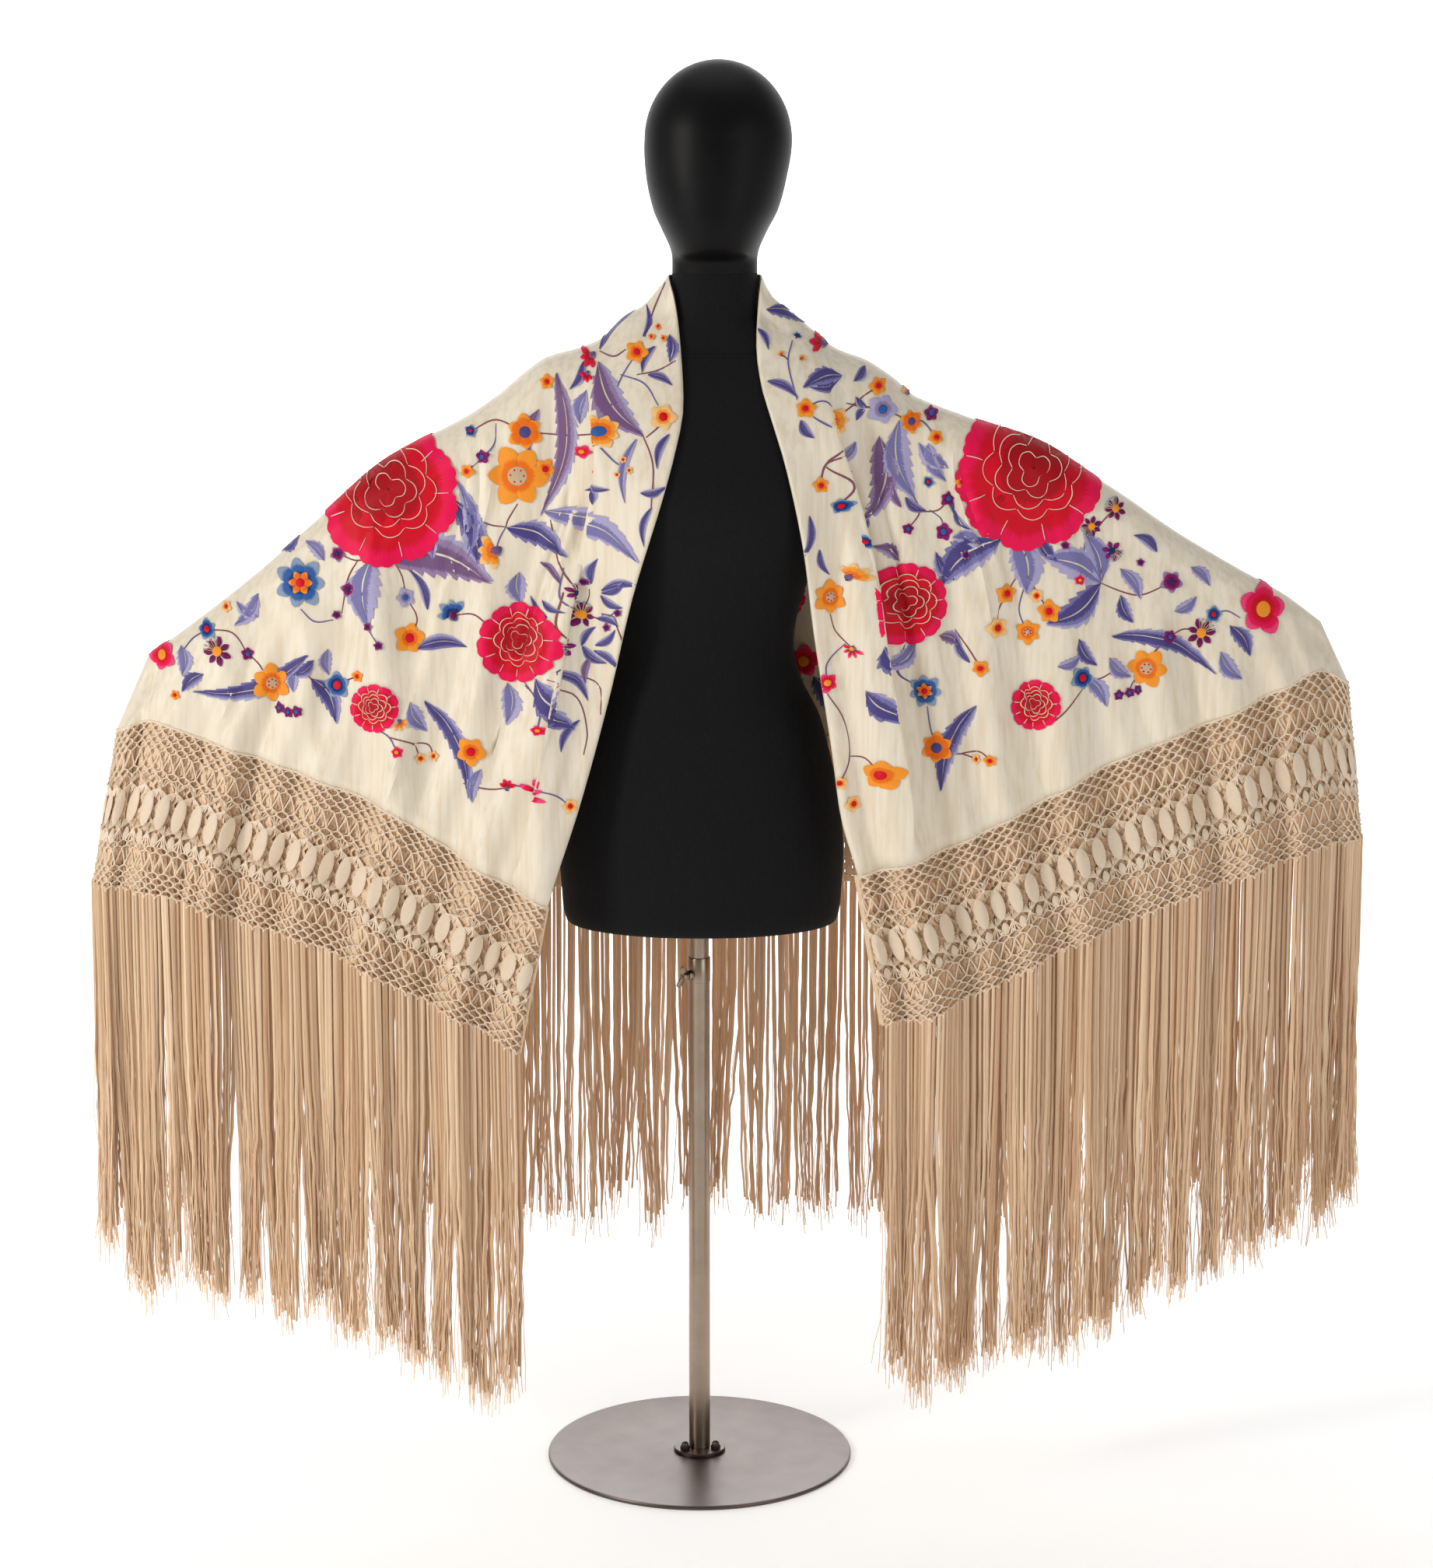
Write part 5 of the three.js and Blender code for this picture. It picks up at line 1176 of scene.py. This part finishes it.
class Knotting:
    """The threads of one band. a is a place along the band in cells of net, and past one from the
    silk's hem (0) to the band's end (1). The row of leaves leans: its lower knots lie lean leaves
    further along than its upper ones."""

    def __init__(self, columns_at, repeats, lean):
        self.columns_at, self.repeats, self.lean = columns_at, repeats, lean
        self.cells = cells_to_leaf * repeats
        self.surfaces = []

    def place(self, a, past, out=0.0):
        """Point of the band for each a and past."""
        share = np.clip(np.asarray(a, float) / self.cells, 0, 1)
        return band_point(self.columns_at(share), np.clip(past, 0, 1), out)

    def leaning(self, a, past, out):
        """Point in the row of leaves."""
        share = np.clip((past - lean_top) / (lean_low - lean_top), 0, 1)
        return self.place(a + cells_to_leaf * self.lean * (share - 0.5), past, out)

    def net(self, rows, radius, sides, shift=0.0, out=0.0, ends=(0,)):
        """Cords that swing from side to side and meet a neighbour in a knot on every row, where
        they have a place for each of ends. Returns the middles of the knots."""
        cord = np.arange(self.cells + 1)[:, None]
        meets_next = (np.arange(len(rows))[None, :] + cord) % 2 == 0
        a = np.repeat(cord + np.where(meets_next, 0.36, -0.36) + shift, len(ends), axis=1)
        past = np.add.outer(rows, ends).ravel()[None, :] + 0 * a
        self.surfaces.append(cord_surface(self.place(np.clip(a, 0, self.cells), past, out), radius, sides))
        knot_a, knot_row = np.nonzero(meets_next[:-1])
        return self.place(knot_a + 0.5 + shift, rows[knot_row], out + 0.4)

    def hem_cord(self):
        """Cord that the silk's hem is knotted to."""
        along = np.linspace(0, self.cells, 2 * self.cells + 1)[None, :]
        self.surfaces.append(cord_surface(self.place(along, 0.004 + 0 * along, 0.4), 1.5, 6))

    def threads(self, a, past, radius):
        """Thin threads in the row of leaves, one for each line of places."""
        steps = a.shape[-1]
        a, past = (grid.reshape(-1, steps) for grid in np.broadcast_arrays(a, past))
        self.surfaces.append(cord_surface(self.leaning(a, past, 0.4), radius, 3))

    def fans(self):
        """Threads gathered into a knot between each two leaves, above and below them: a few come
        from the net and many go to the sides of the leaves."""
        knot_a = (cells_to_leaf * np.arange(self.repeats + 1.0))[:, None]
        run = np.linspace(0, 1, 3)
        from_net = np.array([-1.4, -0.7, 0, 0.7, 1.4])[None, :, None]
        to_leaf = np.array([-1.9, -1.5, -1.1, -0.75, -0.4, 0.4, 0.75, 1.1, 1.5, 1.9])[None, :, None]
        for knot, net_end, leaf_end in ((top_knot, 0.302, leaf_top), (low_knot, 0.704, leaf_low)):
            self.threads(knot_a[..., None] + from_net * run, knot + (net_end - knot) * run, 1.0)
            reach = leaf_end + (leaf_end - knot) * 0.5 * (1 - np.abs(to_leaf) / 1.9)
            self.threads(knot_a[..., None] + to_leaf * run, knot + (reach - knot) * run, 0.8)
            balls = self.leaning(knot_a, knot + 0 * knot_a, 1.0).reshape(-1, 3)
            self.surfaces.append(ball_surface(balls, np.array([2.3, 2.2, 2.9])))

    def leaves(self, first, last, half, deep, steps, square):
        """Woven leaves puffed like cushions, half a width in cells; a small square makes their
        ends blunt."""
        middle = (cells_to_leaf * np.arange(self.repeats) + 1.5)[:, None, None]
        t = np.linspace(0, 1, steps)[None, :, None]
        turn = np.linspace(0, 2 * np.pi, 10, endpoint=False)[None, None, :]
        swell = np.sin(np.pi * np.clip(t, 0.012, 0.988)) ** square
        a = middle + half * swell * np.cos(turn)
        past = first + (last - first) * t + 0 * a
        points = self.leaning(a, past, 0.5 + deep * swell * np.sin(turn) + 0 * a)
        faces = grid_faces(steps, 10, True) + steps * 10 * np.arange(self.repeats)[:, None, None]
        uv = np.stack(np.broadcast_arrays(7 * (a - middle), 190 * past), -1)
        self.surfaces.append((points.reshape(-1, 3), [faces.reshape(-1, 4)], uv.reshape(-1, 2)))

    def far_layer(self, straight_radius):
        """The other half's band, which lies behind, as a plainer net over straight threads."""
        self.net(far_rows, 2.7, 3, 0.5, -4.5)
        past = np.linspace(0, 1, 14)[None, :]
        straight = self.place(np.arange(self.cells + 1)[:, None] + 0 * past, past, -9.0)
        self.surfaces.append(cord_surface(straight, straight_radius, 3))

    def edge_cord(self):
        """Thicker cord down the leading edge."""
        past = np.linspace(0, 1, 30)[None, :]
        self.surfaces.append(cord_surface(self.place(0 * past, past, -1.5), 2.4, 8))


def knotted_band(name, columns_at, repeats, lean, node, make=fine_make):
    """Band of so many leaves in place of a node. tone tells its near layer (1) from its far one, which is
    painted a slightly darker tan as shade.
    """
    work = Knotting(columns_at, repeats, lean)
    knots = np.concatenate([work.net(rows, 1.15, 4, ends=make.cord_ends) for rows in net_rows])
    work.surfaces.append(ball_surface(knots, np.array([2.0, 1.7, 2.1]), *make.knot_detail))
    work.hem_cord()
    work.fans()
    work.leaves(leaf_top - 0.012, leaf_low + 0.012, 1.1, 1.9, 13, 0.42)
    work.leaves(0.622, 0.7, 0.62, 1.5, 8, 0.7)
    near_count = sum(len(surface[0]) for surface in work.surfaces)
    work.far_layer(make.straight_radius)
    if make.edge:
        work.edge_cord()
    points, faces, uv = join(work.surfaces)
    tone = np.where(np.arange(len(points)) < near_count, 1.0, 0.0)
    return make_piece(name, points, faces, knotted_thread, "form", [node], uv=uv,
                      tones={"tone": tone})


thread = Finish("knotted thread")
round_share, along_mm = thread.lanes()
ply = (round_share * 6.2832 + along_mm * 3.4).math("SINE") * 0.5 + 0.5
lint = thread.noise(5, thread.place(), detail=3)
age = thread.noise(60, thread.place(), detail=2)
# Painted shade: the twist of the ply is painted darker in its grooves and lighter on its ridges, mixed with
# the lint's own uneven tone.
near_tan = thread.blend(ply * 0.5 + lint * 0.5, paint(232, 206, 172), paint(255, 240, 220))
near_tan = thread.blend(age.step(0.4, 0.75) * 0.3, near_tan, paint(232, 202, 168))
# Painted shade: the far layer, which lies behind, is given a slightly darker tan than the near one.
near_or_shaded_far = thread.node("Attribute", {"attribute_name": "tone"}, output="Fac")
tan_with_painted_shade = thread.blend(near_or_shaded_far, paint(240, 210, 174), near_tan)
knotted_thread = thread.skin(tan_with_painted_shade, 0.6, thread.bump(ply, 0.4, 0.7),
                             Sheen_Weight=0.2, Sheen_Roughness=0.4)


def left_at(share):
    """Columns of the left front at shares from its leading edge (0) to its tip (1)."""
    return front_columns(left_wing, tip_place(share))


def right_at(share):
    """Columns of the right front at such shares."""
    return front_columns(right_wing, tip_place(share))


bands = [
    knotted_band("knotted_band_left", left_at, 28, 0.5, "macrame_left_front"),
    knotted_band("knotted_band_right", right_at, 31, 0.5, "macrame_right_front"),
    knotted_band("knotted_band_back", back_columns, 60, 0.0, "macrame_back", plain_make),
]


# Fringe
# The band's own threads, left loose: flat strands of fine silk that hang in two layers, cling
# together in locks lower down and end in frayed single threads.
strand_steps, strand_wide, strand_thick = 20, 4.6, 1.8
strand_corners = [(-0.5, -0.1), (0.05, -0.5), (0.5, 0.1), (-0.05, 0.5)]  # in widths and thicknesses
thread_steps, thread_radius = 11, 0.6


def strand_paths(random, columns_at, count, ends, locks, layer):
    """Middles of one layer of strands, (strand, step, xyz), from the band's end down. They draw
    together a little into locks lower down, sway and end unevenly."""
    t = np.linspace(0, 1, strand_steps)[None, :]
    share = (np.arange(count) + 0.5 + 0.5 * layer + random.uniform(-0.35, 0.35, count)) / count
    share = np.clip(share, 0.001, 0.999)[:, None]
    c = columns_at(share)
    root = band_point(c, np.ones_like(share))
    lock = np.floor(share * locks + 0.3 * np.sin(share * 90 + layer))
    lock_share = np.clip((lock + 0.5) / locks, 0.002, 0.998)
    centre = band_point(columns_at(lock_share), np.ones_like(share))
    lock_end = 13 * np.sin(lock * 4.1 + layer) + 6 * np.sin(lock * 9.7)
    end = curve(ends, c.side * root[..., 0]) + lock_end + random.uniform(-9, 9, share.shape) + 6 * layer
    tightness = 0.12 + 0.4 * np.sin(lock * 12.9898 + 78.2 * layer) ** 2
    pull = tightness * fade(t, 0.3, 1.0)
    x = root[..., 0] + (centre[..., 0] - root[..., 0]) * pull
    x = x + t * (4.5 * np.sin(lock * 2.3 + 3.1 * t) + 1.6 * np.sin(share * 700 + 5 * t))
    x = x + random.normal(0, 0.8, (count, strand_steps)) * fade(t, 0.15, 0.6)
    y = root[..., 1] - c.sign * (0.5 + 4.5 * layer) + t * (5 * np.sin(lock * 1.7 + 2.6 * t))
    y = y + random.normal(0, 2.0, share.shape) * t + (centre[..., 1] - root[..., 1]) * pull
    return np.stack([x, y, mix(root[..., 2] + 5, end, t)], -1)


def flat_strands(random, paths):
    """Flat bundles of silk along the paths, which narrow and twist on their way down."""
    count, steps, sides = *paths.shape[:2], len(strand_corners)
    t = np.linspace(0, 1, steps)[None, :]
    wide = strand_wide * (1 - 0.35 * fade(t, 0.5, 1.0)) * random.uniform(0.8, 1.2, (count, 1))
    twist = random.normal(0, 0.25, (count, 1)) + t * random.normal(0, 0.5, (count, 1))
    ring = []
    for across, deep in strand_corners:
        dx = across * wide * np.cos(twist) - deep * strand_thick * np.sin(twist)
        dy = across * wide * np.sin(twist) + deep * strand_thick * np.cos(twist)
        ring.append(paths + np.stack([dx, dy, 0 * dx], -1))
    body = grid_faces(steps, sides, True)
    caps = np.stack([np.arange(sides)[::-1], (steps - 1) * sides + np.arange(sides)])
    offset = steps * sides * np.arange(count)[:, None, None]
    lanes = np.array([-2.5, 0, 2.5, 0])[None, None, :] + 17 * np.arange(count)[:, None, None]
    fallen = (paths[:, :1, 2] - 5 - paths[..., 2])[..., None]
    uv = np.stack(np.broadcast_arrays(lanes, fallen), -1)
    faces = [(body + offset).reshape(-1, 4), (caps + offset).reshape(-1, sides)]
    return np.stack(ring, 2).reshape(-1, 3), faces, uv.reshape(-1, 2)


def single_threads(random, strands, many):
    """Threads that leave the strands at any height, kinked where they were knotted before."""
    steps = strands.shape[1]
    pick = random.integers(0, len(strands), many)
    leave = random.uniform(0.02, 0.8, many)[:, None]
    u = np.linspace(0, 1, thread_steps)[None, :]
    at = np.clip((leave + (1 - leave) * u) * (steps - 1), 0, steps - 1.001)
    low = at.astype(int)
    path = strands[pick[:, None], low]
    path = path + (strands[pick[:, None], low + 1] - path) * (at - low)[..., None]
    kink = random.normal(0, 1.0, (many, thread_steps, 3)).cumsum(1) * np.array([2.1, 1.5, 0.0])
    path = path + kink * u[..., None]
    path[..., 2] -= random.uniform(4, 34, many)[:, None] * u ** 3
    return cord_surface(path, thread_radius, 3)


def fringe(name, columns_at, count, ends, locks, seed, node, loose_share=3.0, shade=0.0):
    """Fringe of two layers of count strands in place of a node, with loose_share single threads
    to a strand. tone tells lighter strands from darker ones: partly each strand's own tone, and
    painted shade that darkens the inner layer and, by shade, the whole fringe."""
    random = np.random.default_rng(seed)
    surfaces, tones, layers = [], [], []
    for layer in (0, 1):
        paths = strand_paths(random, columns_at, count, ends, locks, layer)
        surfaces.append(flat_strands(random, paths))
        # Painted shade: the inner layer is painted half as bright and the back fringe a little darker; the
        # random part is each strand's own tone.
        tone = random.uniform(0.2, 1.0, count) * (1 - 0.5 * layer) * (1 - shade)
        tones.append(np.repeat(tone, strand_steps * len(strand_corners)))
        layers.append(paths)
    many = int(loose_share * 2 * count)
    surfaces.append(single_threads(random, np.concatenate(layers), many))
    # The single threads carry the same painted shade of the back fringe.
    tones.append(np.repeat(random.uniform(0.4, 1.1, many) * (1 - shade), 3 * thread_steps))
    points, faces, uv = join(surfaces)
    return make_piece(name, points, faces, loose_silk, "form", [node], uv=uv,
                      tones={"tone": np.concatenate(tones)})


loose = Finish("loose silk")
lane, fall = loose.lanes()
fine_lanes = loose.node("CombineXYZ", {}, {"X": lane * 1.5, "Y": fall * 0.02})
strand_fibre = loose.node("TexNoise", {}, {"Vector": fine_lanes, "Scale": 1.0, "Detail": 3.0})
crimp_at = loose.node("CombineXYZ", {}, {"X": lane * 0.3, "Y": fall * 0.16})
crimp = loose.node("TexNoise", {}, {"Vector": crimp_at, "Scale": 1.0, "Detail": 2.0})
tone_and_painted_shade = loose.node("Attribute", {"attribute_name": "tone"}, output="Fac")
# The tone attribute brings each strand's own tone and the painted shade of the inner layer and of the back
# fringe.
tan = loose.blend(tone_and_painted_shade * 0.7 + strand_fibre * 0.6 - 0.2, paint(196, 148, 106), paint(255, 228, 192))
loose_silk = loose.skin(tan, 0.46, loose.bump(strand_fibre * 0.5 + crimp * fall.step(40, 260), 1.6, 0.7),
                        Sheen_Weight=0.2, Sheen_Roughness=0.35)

fringes = [
    fringe("fringe_left", left_at, 118, left_wing.ends, 19, 3, "fringe_left_front"),
    fringe("fringe_right", right_at, 132, right_wing.ends, 21, 5, "fringe_right_front"),
    fringe("fringe_back_square", back_columns, 226, back_panel.ends, 40, 7, "fringe_back", 1.2, 0.1),
]


# Room
# A plain pale floor that turns up into a backdrop, soft light from large panels, and a camera
# that stands in front and a little above, tilted down.
sweep_start, sweep_radius, floor_half = 4700, 2900, 9000
world_strength, paper_glow = 0.32, 0.32
camera_place, camera_down, camera_lens = (0.021, -4.064, 1.589), 10.35, 78.9
bend = np.linspace(0, np.pi / 2, 12)
floor_x = np.array([[-floor_half], [floor_half]])
floor_y = np.concatenate([[-floor_half, 0], sweep_start + sweep_radius * np.sin(bend),
                          [sweep_start + sweep_radius]])
floor_z = np.concatenate([[0, 0], sweep_radius * (1 - np.cos(bend)), [floor_half]])
floor_points = np.stack(np.broadcast_arrays(floor_x, floor_y, floor_z), -1).reshape(-1, 3)
floor_faces = grid_faces(2, len(floor_y))[:, ::-1]
floor_mesh = bpy.data.meshes.new("floor")
floor_mesh.from_pydata((floor_points / 1000).tolist(), [], floor_faces.tolist())
floor_mesh.shade_smooth()
floor = bpy.data.objects.new("floor", floor_mesh)
bpy.context.scene.collection.objects.link(floor)
paper = Finish("paper")
floor_mesh.materials.append(paper.skin(paint(250, 250, 250), 0.9, Emission_Color=(1, 1, 1, 1),
                                       Emission_Strength=paper_glow))

# Lamps: place and aim in metres, side of the panel, power and colour.
for name, at, aim, size, watts, colour in [
    ("key", (-3.6, -2.3, 2.2), (0, 0, 0.9), 1.0, 84, (1, 0.96, 0.91)),
    ("fill", (3.1, -3.3, 1.8), (0, 0, 0.9), 2.2, 30, (1, 0.98, 0.96)),
    ("top", (0, 0.6, 4.2), (0, 0, 1.0), 2.4, 14, (1, 1, 1)),
    ("backdrop", (0, 4.4, 4.6), (0, 7.4, 1.2), 2.4, 330, (1, 1, 1)),
]:
    lamp = bpy.data.lights.new(name, "AREA")
    lamp.size, lamp.energy, lamp.color = size, watts, colour
    holder = bpy.data.objects.new(name, lamp)
    bpy.context.scene.collection.objects.link(holder)
    ray = np.array(aim) - np.array(at)
    flat = np.hypot(ray[0], ray[1])
    holder.location = at
    holder.rotation_euler = (np.arctan2(flat, -ray[2]), 0, np.arctan2(ray[1], ray[0]) - np.pi / 2)

world = bpy.data.worlds.new("studio")
bpy.context.scene.world = world
world.use_nodes = True
sky = world.node_tree.nodes["Background"]
sky.inputs["Color"].default_value = (1, 1, 1, 1)
sky.inputs["Strength"].default_value = world_strength

lens = bpy.data.cameras.new("camera")
lens.lens, lens.sensor_width, lens.sensor_fit = camera_lens, 36, "AUTO"
lens.clip_end = 60
camera = bpy.data.objects.new("camera", lens)
bpy.context.scene.collection.objects.link(camera)
camera.location = camera_place
camera.rotation_euler = (np.radians(90 - camera_down), 0, 0)
bpy.context.scene.camera = camera
bpy.context.scene.view_settings.view_transform = "Standard"
